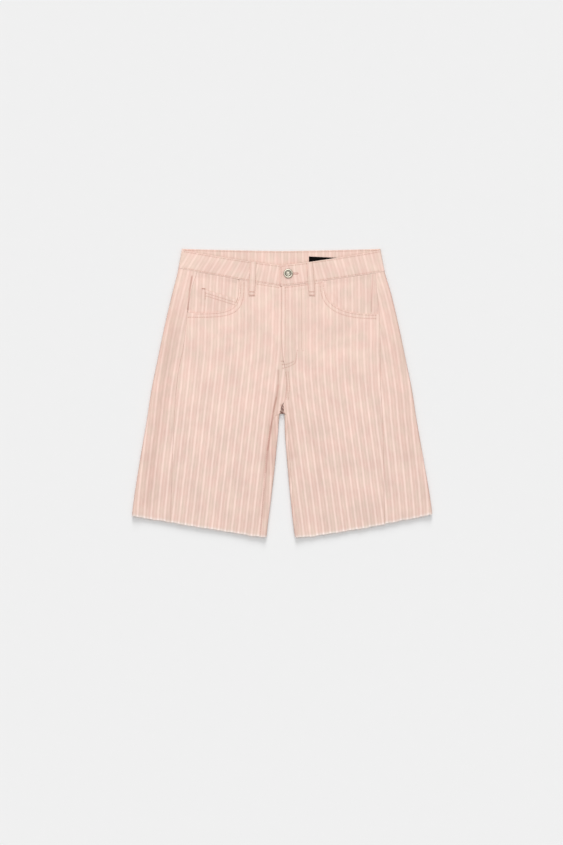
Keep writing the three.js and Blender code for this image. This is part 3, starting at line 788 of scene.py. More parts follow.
def button_profile():
    r, low, top = BUTTON_RADIUS, BUTTON_UNDER, BUTTON_TOP
    return [
        (0, BUTTON_FOOT), (SHANK, BUTTON_FOOT), (SHANK, low + 0.1), (SHANK + 0.3, low), (r - 1.3, low),
        (r - 0.4, low + 0.3), (r - 0.05, low + 0.8), (r, low + 1.4), (r - 0.15, top - 0.9),
        (r - 0.55, top - 0.3), (r - 1.0, top - 0.06), (r - 1.5, top), (r - 2.3, top - 0.03),
        (r - 2.6, top - 0.2), (r - 2.8, top - 0.9), (r - 3.0, top - 1.05), (r - 3.35, top - 1.05),
        (r - 3.6, top - 0.75), (r - 3.85, top - 0.6), (r - 4.6, top - 0.5), (r - 5.3, top - 0.52),
        (r - 5.6, top - 0.62), (r - 5.8, top - 0.9), (r - 6.3, top - 0.95), (r - 6.7, top - 0.9),
        (r - 7.0, top - 0.7), (r - 7.8, top - 0.6), (0, top - 0.58),
    ]


def beads(count, ring, radius, height, sides=8):
    """A ring of small half-sunk beads, each a low dome."""
    points, faces = [], []
    profile = ((radius, 0), (radius * 0.75, radius * 0.55), (radius * 0.3, radius * 0.8))
    for k in range(count):
        around = 2 * math.pi * k / count
        cx, cy = ring * math.cos(around), ring * math.sin(around)
        base = len(points)
        for r, z in profile:
            for j in range(sides):
                a = 2 * math.pi * j / sides
                points.append((cx + r * math.cos(a), cy + r * math.sin(a), height + z))
        faces += ring_quads(len(profile), sides, base)
        faces.append(tuple(range(len(points) - sides, len(points))))
        faces.append(tuple(reversed(range(base, base + sides))))
    return np.array(points), faces


def jeans_button():
    points, faces = turned(button_profile(), TURNS)
    bead_points, bead_faces = beads(18, BUTTON_RADIUS - 4.45, 0.4, BUTTON_TOP - 0.62)
    faces += [tuple(i + len(points) for i in face) for face in bead_faces]
    points = np.concatenate([points, bead_points]) + np.array([BUTTON_X, BUTTON_Y, 0])
    return add_mesh("jeans_button", points, faces)


button = jeans_button()
print("button", 2 * BUTTON_RADIUS, "mm across,", round(BUTTON_TOP - BUTTON_UNDER, 1), "mm high")

# %% [markdown]
# ## Stitching
# Topstitching is what makes denim look sewn. Each stitch is a short bar of thread that dives into the cloth
# at both ends. One bar is modelled once and repeated along each row, and all the bars become one mesh.

# %% Thread rows
THREAD = 0.36  # thread radius; jeans thread is about 0.6 mm thick
THREAD_SIDES = 6
STITCH, STITCH_GAP = 2.5, 0.9
BAR = [  # along the stitch, height in radii, thickness
    (-0.5, -0.55, 0.55), (-0.38, 0.35, 0.85), (0.0, 0.6, 1.0), (0.38, 0.35, 0.85), (0.5, -0.55, 0.55),
]


def thread_bars(starts, ends, radius=THREAD):
    """Bars of thread between pairs of points, arched upwards; returns points and faces."""
    along = ends - starts
    length = np.linalg.norm(along, axis=1, keepdims=True)
    along = along / np.maximum(length, 1e-9)
    across = np.cross([0.0, 0.0, 1.0], along)
    across /= np.maximum(np.linalg.norm(across, axis=1, keepdims=True), 1e-9)
    up = np.cross(along, across)
    middle = (starts + ends) / 2
    rings = []
    for place, lift, scale in BAR:
        centre = middle + along * length * place + up * radius * lift
        for k in range(THREAD_SIDES):
            a = 2 * math.pi * k / THREAD_SIDES
            rings.append(centre + radius * scale * (across * math.cos(a) + up * math.sin(a)))
    points = np.stack(rings, axis=1)
    per = points.shape[1]
    one_bar = [(a, d, c, b) for a, b, c, d in ring_quads(len(BAR), THREAD_SIDES)]
    one_bar += [tuple(range(THREAD_SIDES)), tuple(reversed(range(per - THREAD_SIDES, per)))]
    faces = [tuple(i + bar * per for i in face) for bar in range(len(points)) for face in one_bar]
    return points.reshape(-1, 3), faces


def resample(points, spacing):
    points = np.asarray(points, float)
    lengths = np.concatenate([[0], np.cumsum(np.linalg.norm(np.diff(points, axis=0), axis=1))])
    count = max(2, int(lengths[-1] / spacing))
    at = np.linspace(0, lengths[-1], count + 1)
    return np.stack([np.interp(at, lengths, points[:, k]) for k in range(points.shape[1])], axis=1)


class Thread:
    """Collects stitches of one mesh."""

    def __init__(self, name):
        self.name, self.points, self.faces, self.paths = name, [], [], []

    def bars(self, starts, ends, radius=THREAD):
        points, faces = thread_bars(starts, ends, radius)
        base = sum(len(p) for p in self.points)
        self.points.append(points)
        self.faces += [tuple(i + base for i in face) for face in faces]

    def row(self, path, marks=True):
        """A row of topstitching along a path of points that lie on the cloth. marks: painted shade is drawn
        along the row.
        """
        dense = resample(path, 0.5)
        if marks:
            self.paths.append(dense)
        lengths = np.concatenate([[0], np.cumsum(np.linalg.norm(np.diff(dense, axis=0), axis=1))])
        pitch = STITCH + STITCH_GAP
        count = int(lengths[-1] // pitch)
        first = (lengths[-1] - count * pitch) / 2 + STITCH_GAP / 2
        at = first + pitch * np.arange(count)
        starts = np.stack([np.interp(at, lengths, dense[:, k]) for k in range(3)], axis=1)
        ends = np.stack([np.interp(at + STITCH, lengths, dense[:, k]) for k in range(3)], axis=1)
        self.bars(starts, ends)
        return count

    def bartack(self, start, end, width, pitch=0.55):
        """Dense cross threads along a short line."""
        start, end = np.asarray(start, float), np.asarray(end, float)
        count = max(3, int(np.linalg.norm(end - start) / pitch))
        t = (np.arange(count) + 0.5) / count
        centre = start + (end - start) * t[:, None]
        along = (end - start) / np.linalg.norm(end - start)
        side = np.cross([0, 0, 1], along) * width / 2
        slant = along * pitch * 0.4
        self.bars(centre - side - slant, centre + side + slant, THREAD * 0.85)

    def piece(self):
        return add_mesh(self.name, np.concatenate(self.points), self.faces)


print("stitch", STITCH, "mm, gap", STITCH_GAP, "mm")

# %% [markdown]
# ## The long rows
# The long rows follow the edges of the panels, so they are found from the same curves as the cloth, a fixed
# distance in. A twin needle sews the two rows round each pocket opening. The waistband has a row along each
# long edge and one down its end. The pull of the thread leaves a shallow groove along each row.

# %% Topstitching
EDGE_IN = 2.4  # distance of a row from a folded edge
ROW_APART = 6.2  # between the two rows of a twin needle
GROOVE = 0.25  # how far a row of stitches pulls the cloth down
SUNK = 0.05 + GROOVE

topstitching = Thread("topstitching")


def on_front(side, across, y):
    z = front_level(side, across, y) + DENIM / 2 - SUNK
    return np.stack([side.sign * across, y, z], axis=-1)


def on_band(side, reach, v):
    x, y, z = band_place(side, reach, v)
    return np.stack([x, y, z + BAND / 2 - SUNK], axis=-1)


def scoop_row(side, offset, count=120):
    scoop = side.scoop
    centre, middle = float(side.outseam(scoop.low)), scoop.low + scoop.depth
    turn = math.pi / 2 * steps(count)
    reach, depth = scoop.reach + offset, scoop.depth + offset
    across = centre - reach * np.cos(turn) ** (2 / scoop.power)
    y = middle - depth * np.sin(turn) ** (2 / scoop.power)
    start_y = float(front_low(side, across[0])) - 1.5
    straight = np.linspace(start_y, middle, 12)[:-1] if start_y > middle else np.array([])
    across = np.concatenate([np.full(straight.shape, across[0]), across])
    y = np.concatenate([straight, y])
    inside = (y < front_low(side, across) - 1.2) & (across < side.outseam(y) - 0.8)
    return on_front(side, across[inside], y[inside])


stitch_count = 0
for side in LEGS:
    start = 34.0 if side is LEFT else 4.0
    for v in (EDGE_IN / BAND_WIDTH, 1 - EDGE_IN / BAND_WIDTH):
        reach = np.linspace(OVERLAP_END + EDGE_IN if side is LEFT else 3.6, 187, 200)
        stitch_count += topstitching.row(on_band(side, reach, v))
    for offset in (EDGE_IN, EDGE_IN + ROW_APART):
        stitch_count += topstitching.row(scoop_row(side, offset))
end_v = np.linspace(EDGE_IN / BAND_WIDTH, 1 - EDGE_IN / BAND_WIDTH, 30)
end_row = [on_band(LEFT, np.array([OVERLAP_END + 2.0]), v) for v in end_v]
stitch_count += topstitching.row(np.concatenate(end_row))
back_reach = np.linspace(-186, 186, 300)
inside_row = np.stack(
    [back_reach, back_top(back_reach) - EDGE_IN, np.full(back_reach.shape, BAND - SUNK)], axis=-1)
stitch_count += topstitching.row(inside_row)
print(stitch_count, "stitches so far")

# %% [markdown]
# ## Rows with a shape of their own
# The fly is held by two straight rows that end in a bartack. Below it a pair of rows curves to the centre
# seam, and a last short row closes it. A few rows get no painted shade along them: only their threads show.
# The coin pocket and the inseam have their own short rows.

# %% Fly, seams and coin pocket rows
FLY_ROWS = [  # as sewn: two straight rows to the bartack, then two that curve to the centre seam
    [(37.5, 200), (37.8, 150), (37.5, 84)],
    [(41.5, 200), (41.8, 150), (41.5, 84)],
    [(28.8, 80), (27.8, 70), (26.8, 61.5), (24.5, 56.8), (11.9, 50.6), (0.5, 47.8)],
    [(23.5, 61.6), (17.0, 58.4), (10.0, 55.6), (-1.0, 55.0)],
    [(5.0, 61.6), (-1.5, 61.6)],
]


def stitched_on_front(x, y):
    """Points on whichever front lies on top at the fly, where x may cross the edge of the left one."""
    z = np.where(x > LEFT.front_edge(y), front_level(LEFT, x, y), front_level(RIGHT, -x, y) + 0.3)
    return np.stack([x, y, z + DENIM / 2 - SUNK], axis=-1)


fly_edge_y = np.linspace(201, FLY_END + 6, 60)
fly_edge_x = 7.0 - 2.4 * smooth(-fly_edge_y, -110, -66)
stitch_count += topstitching.row(stitched_on_front(fly_edge_x, fly_edge_y), marks=False)
for row in FLY_ROWS:
    path = resample(row, 1.5)
    stitch_count += topstitching.row(stitched_on_front(path[:, 0], path[:, 1]), marks=row[0][1] < 100)
centre_y = np.linspace(42, -12, 30)
for shift in (1.4, 5.4):
    stitch_count += topstitching.row(on_front(LEFT, LEFT.front_edge(centre_y) + shift, centre_y))
for side, first, last in ((RIGHT, 4, 48), (LEFT, 5, 50), (LEFT, 62, 76)):
    below = np.linspace(first, last, 30)
    stitch_count += topstitching.row(on_front(side, below, front_low(side, below) - 3.2))
coin_across = np.linspace(COIN.inner + 4, COIN.outer - 1.8, 40)


def on_coin(across, y, sunk=SUNK):
    z = facing_level(RIGHT, across, y) + FACING * 1.5 + SEAM - sunk
    return np.stack([-across, y, z], axis=-1)


coin_slope = (COIN.top_outer - COIN.top_inner) / (COIN.outer - COIN.inner)
for down in (6.4, 11.6):
    coin_y = COIN.top_inner + coin_slope * (coin_across - COIN.inner) - down
    stitch_count += topstitching.row(on_coin(coin_across, coin_y))
coin_side_y = np.linspace(COIN.top_outer - 4, 178, 30)
coin_side = np.full(coin_side_y.shape, COIN.outer - 1.8)
stitch_count += topstitching.row(on_coin(coin_side, coin_side_y))
inseam_y = np.linspace(-60, -270, 120)
stitch_count += topstitching.row(on_front(RIGHT, RIGHT.front_edge(inseam_y) + 2.0, inseam_y))
print(stitch_count, "stitches in all")

# %% [markdown]
# ## Bartacks
# A bartack is a short bar of threads packed side by side, sewn by machine where a seam is pulled hard: over
# the low ends of the belt loops, at the fly and at the corners of the coin pocket. The crotch, where four
# seams meet, is held by a coarser tack of dark brown thread that widens downwards. Its dark brown is partly
# painted shade, for the shade in the gap between the legs.

# %% Bartacks
TACK_HALF = 4.8  # half of a belt loop's tack
CROTCH_THREADS = [  # height, from x, to x, width
    (-24.5, 0.6, 3.6, 1.0), (-28.0, -1.2, 1.6, 1.6), (-31.0, 1.4, 3.8, 2.0), (-35.0, -3.0, 0.8, 1.8),
    (-37.4, -0.6, 3.4, 2.6),
]
bartacks = Thread("bartacks")
for side in LEGS:
    loop_height = float(front_top(side.loop[0])) - LOOP_LOW
    for up, along in ((1.4, 1.0), (7.5, 0.88)):
        y_tack, centre = LOOP_LOW + up, mix(*side.loop, along)
        xs = np.array([centre - TACK_HALF, centre + TACK_HALF])
        puff = LOOP_PUFF * math.sin(math.pi * (1 - up / loop_height))
        z = front_level(side, np.abs(xs), np.array([y_tack, y_tack])) + DENIM / 2 + SEAM + LOOP + puff + 0.1
        bartacks.bartack((xs[0], y_tack, z[0]), (xs[1], y_tack, z[1]), 1.3)
fly_tack = on_front(LEFT, np.array([28.5, 42.0]), np.array([82.0, 82.0]))
bartacks.bartack(fly_tack[0], fly_tack[1], 1.7)
for across, y in (((145.0, 152.0), (199.0, 199.6)), ((86.9, 82.2), (171.6, 182.6))):
    coin_tack = on_coin(np.array(across), np.array(y), 0.0)
    bartacks.bartack(coin_tack[0], coin_tack[1], 1.5)
crotch_tack = Thread("crotch_tack")
for y, low_x, high_x, width in CROTCH_THREADS:
    z = float(front_level(LEFT, np.array(4.0), np.array(y))) + DENIM / 2 - 0.1
    crotch_tack.bartack((low_x, y + 1.2, z), (high_x, y - 0.6, z), width)
print("bartacks", len(bartacks.faces) + len(crotch_tack.faces), "faces")

# %% [markdown]
# ## Painted shade along seams and creases
# Shade is painted into the cloth's colour along its stitch rows, creases and folds, where grooves and gaps
# are shaded.
# Lines are drawn on a fine map of the front, one value for each half millimetre. Each piece then reads the
# map at its own points, keeps the value as an attribute for its material, and sinks a little there.
# Painting it by hand in Texture Paint would do too, but couldn't be repeated exactly.

# %% Map of painted shade along seams and creases
MAP_STEP, MAP_HALF = 0.5, 300
map_cells = int(2 * MAP_HALF / MAP_STEP)
stitch_map = np.zeros((map_cells, map_cells))
shade_map = np.zeros((map_cells, map_cells))


def draw_line(target, points, strength, half_width, puckers=0.0):
    """Draws a soft line on a map; puckers makes its strength rise and fall along the row."""
    path = resample(np.asarray(points, float)[:, :2], MAP_STEP)
    along = np.arange(len(path)) * MAP_STEP
    waves = np.sin(2 * np.pi * along / 6.7) + 0.6 * np.sin(2 * np.pi * along / 9.1 + path[0, 0])
    power = strength * (1 + puckers * waves / 1.6)
    cell = np.floor((path + MAP_HALF) / MAP_STEP).astype(int)
    reach = int(2.2 * half_width / MAP_STEP)
    for down in range(-reach, reach + 1):
        for right in range(-reach, reach + 1):
            rows = np.clip(cell[:, 1] + down, 0, map_cells - 1)
            columns = np.clip(cell[:, 0] + right, 0, map_cells - 1)
            centre_x = (columns + 0.5) * MAP_STEP - MAP_HALF
            centre_y = (rows + 0.5) * MAP_STEP - MAP_HALF
            near = np.exp(-((centre_x - path[:, 0]) ** 2 + (centre_y - path[:, 1]) ** 2) / half_width**2)
            np.maximum.at(target, (rows, columns), power * near)


def read_map(source, x, y):
    column = np.clip((x + MAP_HALF) / MAP_STEP - 0.5, 0, map_cells - 1.001)
    row = np.clip((y + MAP_HALF) / MAP_STEP - 0.5, 0, map_cells - 1.001)
    i, j = row.astype(int), column.astype(int)
    s, t = row - i, column - j
    return (source[i, j] * (1 - s) * (1 - t) + source[i, j + 1] * (1 - s) * t
            + source[i + 1, j] * s * (1 - t) + source[i + 1, j + 1] * s * t)


# Painted shade along each stitch row, for the shade of the groove that its thread pulls.
for path in topstitching.paths:
    draw_line(stitch_map, path, 0.26, 1.3, 0.5)
print("darkest seam", round(float(stitch_map.max()), 2))

# %% [markdown]
# ## The painted shade lines
# Each line of painted shade has its own strength, because the real ones differ: the inseams are the darkest,
# where the legs fold under, then the pocket openings and the fly. A strength above 1 goes darker than the
# shade along a seam, to stand for the shade in a narrow gap. The broad faint lines are slopes of the cloth
# that catch less light.

# %% Painted shade lines
SHADE_LINES = [  # strength, half width, points
    (0.85, 1.8, [(-6.6, 44), (-6.6, 18), (-9, -3)]),
    (1.20, 2.0, [(-6.8, 16), (-9, -3), (-11.5, -14)]),
    (1.60, 2.0, [(-10, -7), (-14, -24), (-17.5, -42), (-22, -75), (-26.8, -108)]),
    (0.42, 7.5, [(-9, -36), (-12, -60), (-17, -107), (-23, -150)]),
    (1.10, 1.9, [(-26.8, -108), (-28.5, -130), (-30, -150)]),
    (0.60, 1.9, [(-30, -150), (-31, -180)]),
    (0.45, 7.0, [(-9, -5), (-17.5, -42), (-23.2, -89), (-27, -122)]),
    (0.36, 7.0, [(-27, -122), (-33, -180), (-36, -230)]),
    (0.30, 1.6, [(9.0, 46), (9.8, 12), (8.0, -5), (9.4, -34)]),
    (0.22, 3.2, [(33, -4), (45, -32), (54.6, -76), (64, -110), (74, -165)]),
    (0.32, 6.0, [(16.5, -32), (17.5, -75), (21, -118)]),
    (1.30, 1.6, [(-170.5, 222), (-174.5, 196), (-178.5, 160)]),
    (0.90, 1.3, [(172.6, 226), (171.6, 190), (170.4, 156)]),
    (0.25, 1.1, [(177.5, 212), (181, 190), (184.5, 160)]),
    (0.22, 1.1, [(-0.3, 203), (-0.3, 120), (0.6, 90), (3.2, 66)]),
    (0.26, 1.0, [(-3.3, 243), (-3.3, 205)]),
    (0.80, 1.6, [(-2.2, 208), (-2.2, 204)]),
    (1.00, 2.4, [(-1.0, -22), (2.5, -28), (0.8, -36)]),
    (1.00, 2.0, [(-3.0, -35), (4.5, -36)]),
    (0.14, 3.0, [(-120, 180), (-100, 152)]),
    (0.14, 3.0, [(96, 190), (120, 160)]),
    (0.16, 3.5, [(-152, 195), (-153, 168)]),
    (0.34, 13.0, [(-206, 150), (-217, 60), (-231, -40), (-246, -130), (-256, -205)]),
    (0.16, 13.0, [(208, 150), (218, 60), (232, -60), (244, -120)]),
]
for strength, half_width, points in SHADE_LINES:
    draw_line(shade_map, points, strength, half_width)
# More painted shade: under the waistband's lower edge, along the outseams, beside the belt loops and at the
# coin pocket's top.
for side in LEGS:
    reach = np.linspace(0, 194, 160)
    edge = np.stack([side.sign * reach, front_low(side, reach)], axis=1)
    low_y = np.linspace(95, -262, 200)
    seam_line = np.stack([side.sign * side.outseam(low_y), low_y], axis=1)
    draw_line(shade_map, edge + [0, 0.6], 0.10, 4.6)
    draw_line(shade_map, edge - [0, 9.5], 0.09, 1.6)
    draw_line(shade_map, seam_line, 0.16, 1.8)
    for way in (-1, 1):
        loop_x = np.array(side.loop) + way * LOOP_WIDTH / 2
        draw_line(shade_map, np.stack([loop_x, [250, LOOP_LOW]], axis=1), 0.20, 1.1)
coin_top = [(-COIN.outer, COIN.top_outer), (-COIN.inner, COIN.top_inner)]
draw_line(shade_map, coin_top, 0.12, 1.2)
print("darkest crease", round(float(shade_map.max()), 2))

# %% [markdown]
# ## The buttonhole
# A keyhole buttonhole is a slit with a round eye at the shank, bound with closely packed threads. Only its
# tail shows past the button. The eye itself is hidden beneath the button's head.

# %% Buttonhole threads
buttonhole = Thread("buttonhole_thread")
HOLE_END, HOLE_HALF, BIND = 30.0, 0.3, 1.7
HOLE_THREAD = THREAD * 0.9


def buttonhole_threads():
    xs = np.arange(BUTTON_X + 3.6, HOLE_END, 0.5)
    for way in (-1, 1):
        near = on_band(LEFT, xs, 0.5)
        near[:, 1] = BUTTON_Y + way * HOLE_HALF
        far = near + [0, way * BIND, 0]
        buttonhole.bars(near, far, HOLE_THREAD)
    fan = np.radians(np.linspace(-80, 80, 9))
    centre = on_band(LEFT, np.full(fan.shape, HOLE_END), 0.5)
    centre[:, 1] = BUTTON_Y
    spokes = np.stack([np.cos(fan), np.sin(fan), np.zeros(9)], axis=1)
    buttonhole.bars(centre + HOLE_HALF * spokes, centre + (HOLE_HALF + BIND) * spokes, HOLE_THREAD)


buttonhole_threads()
thread_pieces = [topstitching.piece(), bartacks.piece()]
hole_piece = buttonhole.piece()
crotch_piece = crotch_tack.piece()
print([len(piece.data.polygons) for piece in thread_pieces], "faces of thread")

# %% [markdown]
# ## Raw hems
# The hems are cut and left to fray. Short warp ends stand out of the cut all along, a few longer ones hang
# lower, and here and there a loose thread lies across. Each is a thin three-sided strand that bends and
# tapers. Hair particles would do it too, but here the strands are a mesh.

# %% Fray
RNG = np.random.default_rng(7)
FRAY_PITCH = 0.42
FRAY_RADIUS, FRAY_SEGMENTS = 0.15, 4
LOOSE_SHARE = 0.014  # loose threads among all that stand out of the cut


def strands(roots, heads, lengths, radius, curl):
    """Tapering three-sided strands from roots along heads; returns points and faces."""
    count, rings = len(roots), FRAY_SEGMENTS + 1
    up = np.array([0, 0, 1.0])
    side_way = np.cross(heads, up)
    bend = RNG.normal(0, curl, (count, 1)) * side_way + RNG.normal(0, curl * 0.4, (count, 1)) * up
    points = np.empty((count, rings, 3, 3))
    for i, s in enumerate(steps(FRAY_SEGMENTS)):
        centre = roots + heads * lengths[:, None] * s + bend * lengths[:, None] * s * s
        for k in range(3):
            a = 2 * math.pi * k / 3
            spoke = side_way * math.cos(a) + up * math.sin(a)
            points[:, i, k] = centre + spoke * radius * (1 - 0.7 * s)
    points[..., 2] = np.maximum(points[..., 2], 0.02)
    per = rings * 3
    one_strand = ring_quads(rings, 3) + [(2, 1, 0), (per - 3, per - 2, per - 1)]
    faces = [tuple(i + b * per for i in face) for b in range(count) for face in one_strand]
    return points.reshape(-1, 3), faces


def fray_piece(name, roots):
    count = len(roots)
    lengths = np.clip(RNG.gamma(2.4, 0.8, count), 0.5, 5.5)
    loose = RNG.random(count) < LOOSE_SHARE
    lengths = np.where(loose, RNG.uniform(6, 13, count), lengths)
    sideways = RNG.normal(0, 1, count) * np.where(loose, 1.6, 0.35)
    heads = np.stack([sideways, np.full(count, -1.0), RNG.normal(0, 0.12, count)], axis=1)
    heads /= np.linalg.norm(heads, axis=1, keepdims=True)
    points, faces = strands(roots, heads, lengths, FRAY_RADIUS, np.where(loose, 0.5, 0.4)[:, None])
    return add_mesh(name, points, faces, points[:, :2])


def hem_roots(side, low_across, high_across, level):
    """Points along a hem between two distances from the centre line, jittered through the cloth."""
    count = int((high_across - low_across) / FRAY_PITCH)
    across = np.linspace(low_across, high_across, count) + RNG.normal(0, 0.12, count)
    y = hem(side, across)
    z = level(side, across, y) + RNG.uniform(-0.4, 0.4, count)
    return np.stack([side.sign * across, y + 0.4, z], axis=-1)


def lower_layer(side, across, y):
    return DENIM / 2 + 0 * across


fray = {}
for side in LEGS:
    seam_x, edge_x = float(side.outseam(-255)), float(side.front_edge(-275))
    fold_x, inner_x = float(side.out(-230)), float(side.inner(-275))
    front_roots = hem_roots(side, edge_x, seam_x, upper_level)
    fray["front_" + side.name] = fray_piece(f"hem_fray_front_{side.name}", front_roots)
    back_roots = [hem_roots(side, *run) for run in (
        (seam_x, fold_x - 1, upper_level),
        (inner_x + 1, edge_x, upper_level),
        (inner_x + 2, fold_x - 2, lower_layer),
    )]
    fray["back_" + side.name] = fray_piece(f"hem_fray_back_{side.name}", np.concatenate(back_roots))
print({name: len(piece.data.polygons) for name, piece in fray.items()}, "faces of fray")

# %% [markdown]
# ## Reading the map
# A point of a piece takes painted shade where its own spot on the map is, and also painted shade where the
# cloth turns down over the edge of a leg. Near the cut hem the cloth is a little paler, because its ends are
# loose there.

# %% Paint shade on the cloth and sink it along its seams
RIM_SHADE, RIM_WIDE = 0.50, 1.5
WORN_HEM = 3.2
FULL_GROOVE = 0.3  # strength at which a row of stitches has pulled the cloth all the way down
CREASE_SINK = 0.35
UPPER_FROM = 2.0  # points above this height are on the upper layer
CROTCH_HALF, CROTCH_TOP = 8, -18  # round the crotch the lower layer shows too, and takes painted shade


def shade_wear_and_sink(piece, side=None, sinks=True):
    """Writes each point's painted shade and how worn it is, and sinks it. side is given for panels of a leg.
    """
    mesh = piece.data
    place = np.empty(3 * len(mesh.vertices))
    mesh.vertices.foreach_get("co", place)
    place = place.reshape(-1, 3) / MM
    x, y, z = place.T
    at_crotch = (np.abs(x) < CROTCH_HALF) & (y > CROTCH - 0.5) & (y < CROTCH_TOP)
    shows = (z > UPPER_FROM) | at_crotch
    stitches = np.where(shows, read_map(stitch_map, x, y), 0)
    creases = np.where(shows, read_map(shade_map, x, y), 0)
    dark = np.maximum(stitches, creases)
    worn = np.zeros(len(x))
    if side is not None:
        across = side.sign * x
        # Painted shade where the cloth turns down over the side fold and the inner fold of a leg.
        outside = np.exp(-((np.maximum(side.out(y) - across, 0) / RIM_WIDE) ** 2))
        inside = np.where(y < CROTCH, np.exp(-((np.maximum(across - side.inner(y), 0) / RIM_WIDE) ** 2)), 0)
        dark = np.maximum(dark, RIM_SHADE * np.maximum(outside, inside))
        worn = np.exp(-((np.maximum(y - hem(side, across), 0) / WORN_HEM) ** 2))
    for name, values in (("dark", dark), ("worn", worn)):
        attribute = mesh.attributes.new(name, "FLOAT", "POINT")
        attribute.data.foreach_set("value", values.astype(np.float32))
    if sinks:
        place[:, 2] -= GROOVE * np.clip(stitches / FULL_GROOVE, 0, 1) + CREASE_SINK * np.clip(creases, 0, 1)
        mesh.vertices.foreach_set("co", (place * MM).ravel())
        mesh.update()
    return round(float(dark.mean()), 3)


mean_shade = {}
for side in LEGS:
    mean_shade["front " + side.name] = shade_wear_and_sink(fronts[side.name], side)
    mean_shade["back " + side.name] = shade_wear_and_sink(backs[side.name], side)
    shade_wear_and_sink(facings[side.name])
    shade_wear_and_sink(loops[side.name], sinks=False)
    shade_wear_and_sink(fray["front_" + side.name], sinks=False)
    shade_wear_and_sink(fray["back_" + side.name], sinks=False)
shade_wear_and_sink(coin)
mean_shade["band"] = shade_wear_and_sink(band)
print("mean darkening", mean_shade)

# %% [markdown]
# ## Colours
# Colours are written as they look on a screen, in sRGB hex, and turned to the linear values that the
# shaders take.

# %% Colour and node helpers
def linear(hex_code):
    values = [int(hex_code[i:i + 2], 16) / 255 for i in (1, 3, 5)]
    return (*(v / 12.92 if v <= 0.04045 else ((v + 0.055) / 1.055) ** 2.4 for v in values), 1.0)


def node(tree, kind, settings=None, **inputs):
    """Adds a node. settings are its own properties. inputs are its sockets, by name or as i0, i1 and so on:
    a value, a socket to link, or a node whose first live output is linked."""
    made = tree.nodes.new("ShaderNode" + kind)
    for key, value in (settings or {}).items():
        setattr(made, key, value)
    for key, value in inputs.items():
        if key[1:].isdigit():
            socket = made.inputs[int(key[1:])]
        else:
            socket = next(s for s in made.inputs if s.enabled and s.name == key.replace("_", " "))
        if isinstance(value, bpy.types.Node):
            value = next(s for s in value.outputs if s.enabled)
        if isinstance(value, bpy.types.NodeSocket):
            tree.links.new(value, socket)
        else:
            socket.default_value = value
    return made


def new_material(name):
    material = bpy.data.materials.new(name)
    material.use_nodes = True
    material.node_tree.nodes.clear()
    return material, material.node_tree


print("white is", linear("#FFFFFF"))

# %% [markdown]
# ## Striped cotton denim
# The cloth is a cotton twill, garment washed to a pale pink. A light stripe stands every 12.8 mm, with a
# fainter one midway, and both stand out less towards the waist. Washing leaves it a little blotchy, with
# slubs that show as short pale streaks along the warp. Cotton is matte, with a faint sheen of loose fibre
# at grazing angles.
# The stripes come from the cloth's own coordinates, so they follow every bend. The twill line is really
# 0.5 mm apart. Here it is drawn at 1.1 mm, as fine as the render can hold.
# The unevenness is six noises with sizes of their own, stretched along the warp. They are made in one loop,
# each with the range of the noise that is read and the range that it is turned into.

# %% Striped denim material
PINK = "#E2C5B8"
LIGHT_STRIPE = "#F4D8CD"
MID_STRIPE = "#E9CDC1"
PALE_SHIFT = "#DFC7B8"
WARM_SHIFT = "#E4C2B6"
SHADE_TINT = (0.78, 0.68, 0.66, 1.0)  # what full painted shade leaves of the colour
WORN = (1.08, 1.26, 1.34, 1.0)  # what a loose cut edge makes of it
WHOLE = (1.0, 1.0, 1.0, 1.0)
LIGHT_HALF, MID_HALF = 1.7, 0.9
MID_SHARE = 0.85
WASHED = SimpleNamespace(low=-0.06, high=0.15, left=0.62)  # metres up the shorts, share of the stripes left
TWILL = 1.1
CLOTH_NOISES = {  # changes a mm across and along the warp, detail, roughness, range read, range made of it
    "stray": (0.02, 0.02, 1.0, 0.50, 0.0, 1.0, -0.6, 0.6),  # mm that a stripe strays
    "strength": (0.5, 0.035, 2.0, 0.50, 0.3, 0.7, 0.72, 1.0),  # how much of a stripe shows
    "tint": (0.045, 0.035, 2.0, 0.50, 0.35, 0.65, 0.0, 1.0),  # from the pale to the warm pink
    "streaks": (1.1, 0.05, 3.0, 0.60, 0.25, 0.75, 0.94, 1.055),  # slubs
    "blotches": (0.028, 0.02, 3.0, 0.55, 0.3, 0.7, 0.945, 1.045),
    "fibres": (1.4, 0.7, 3.0, 0.60, 0.0, 1.0, 0.0, 1.1),  # height of the grain
}


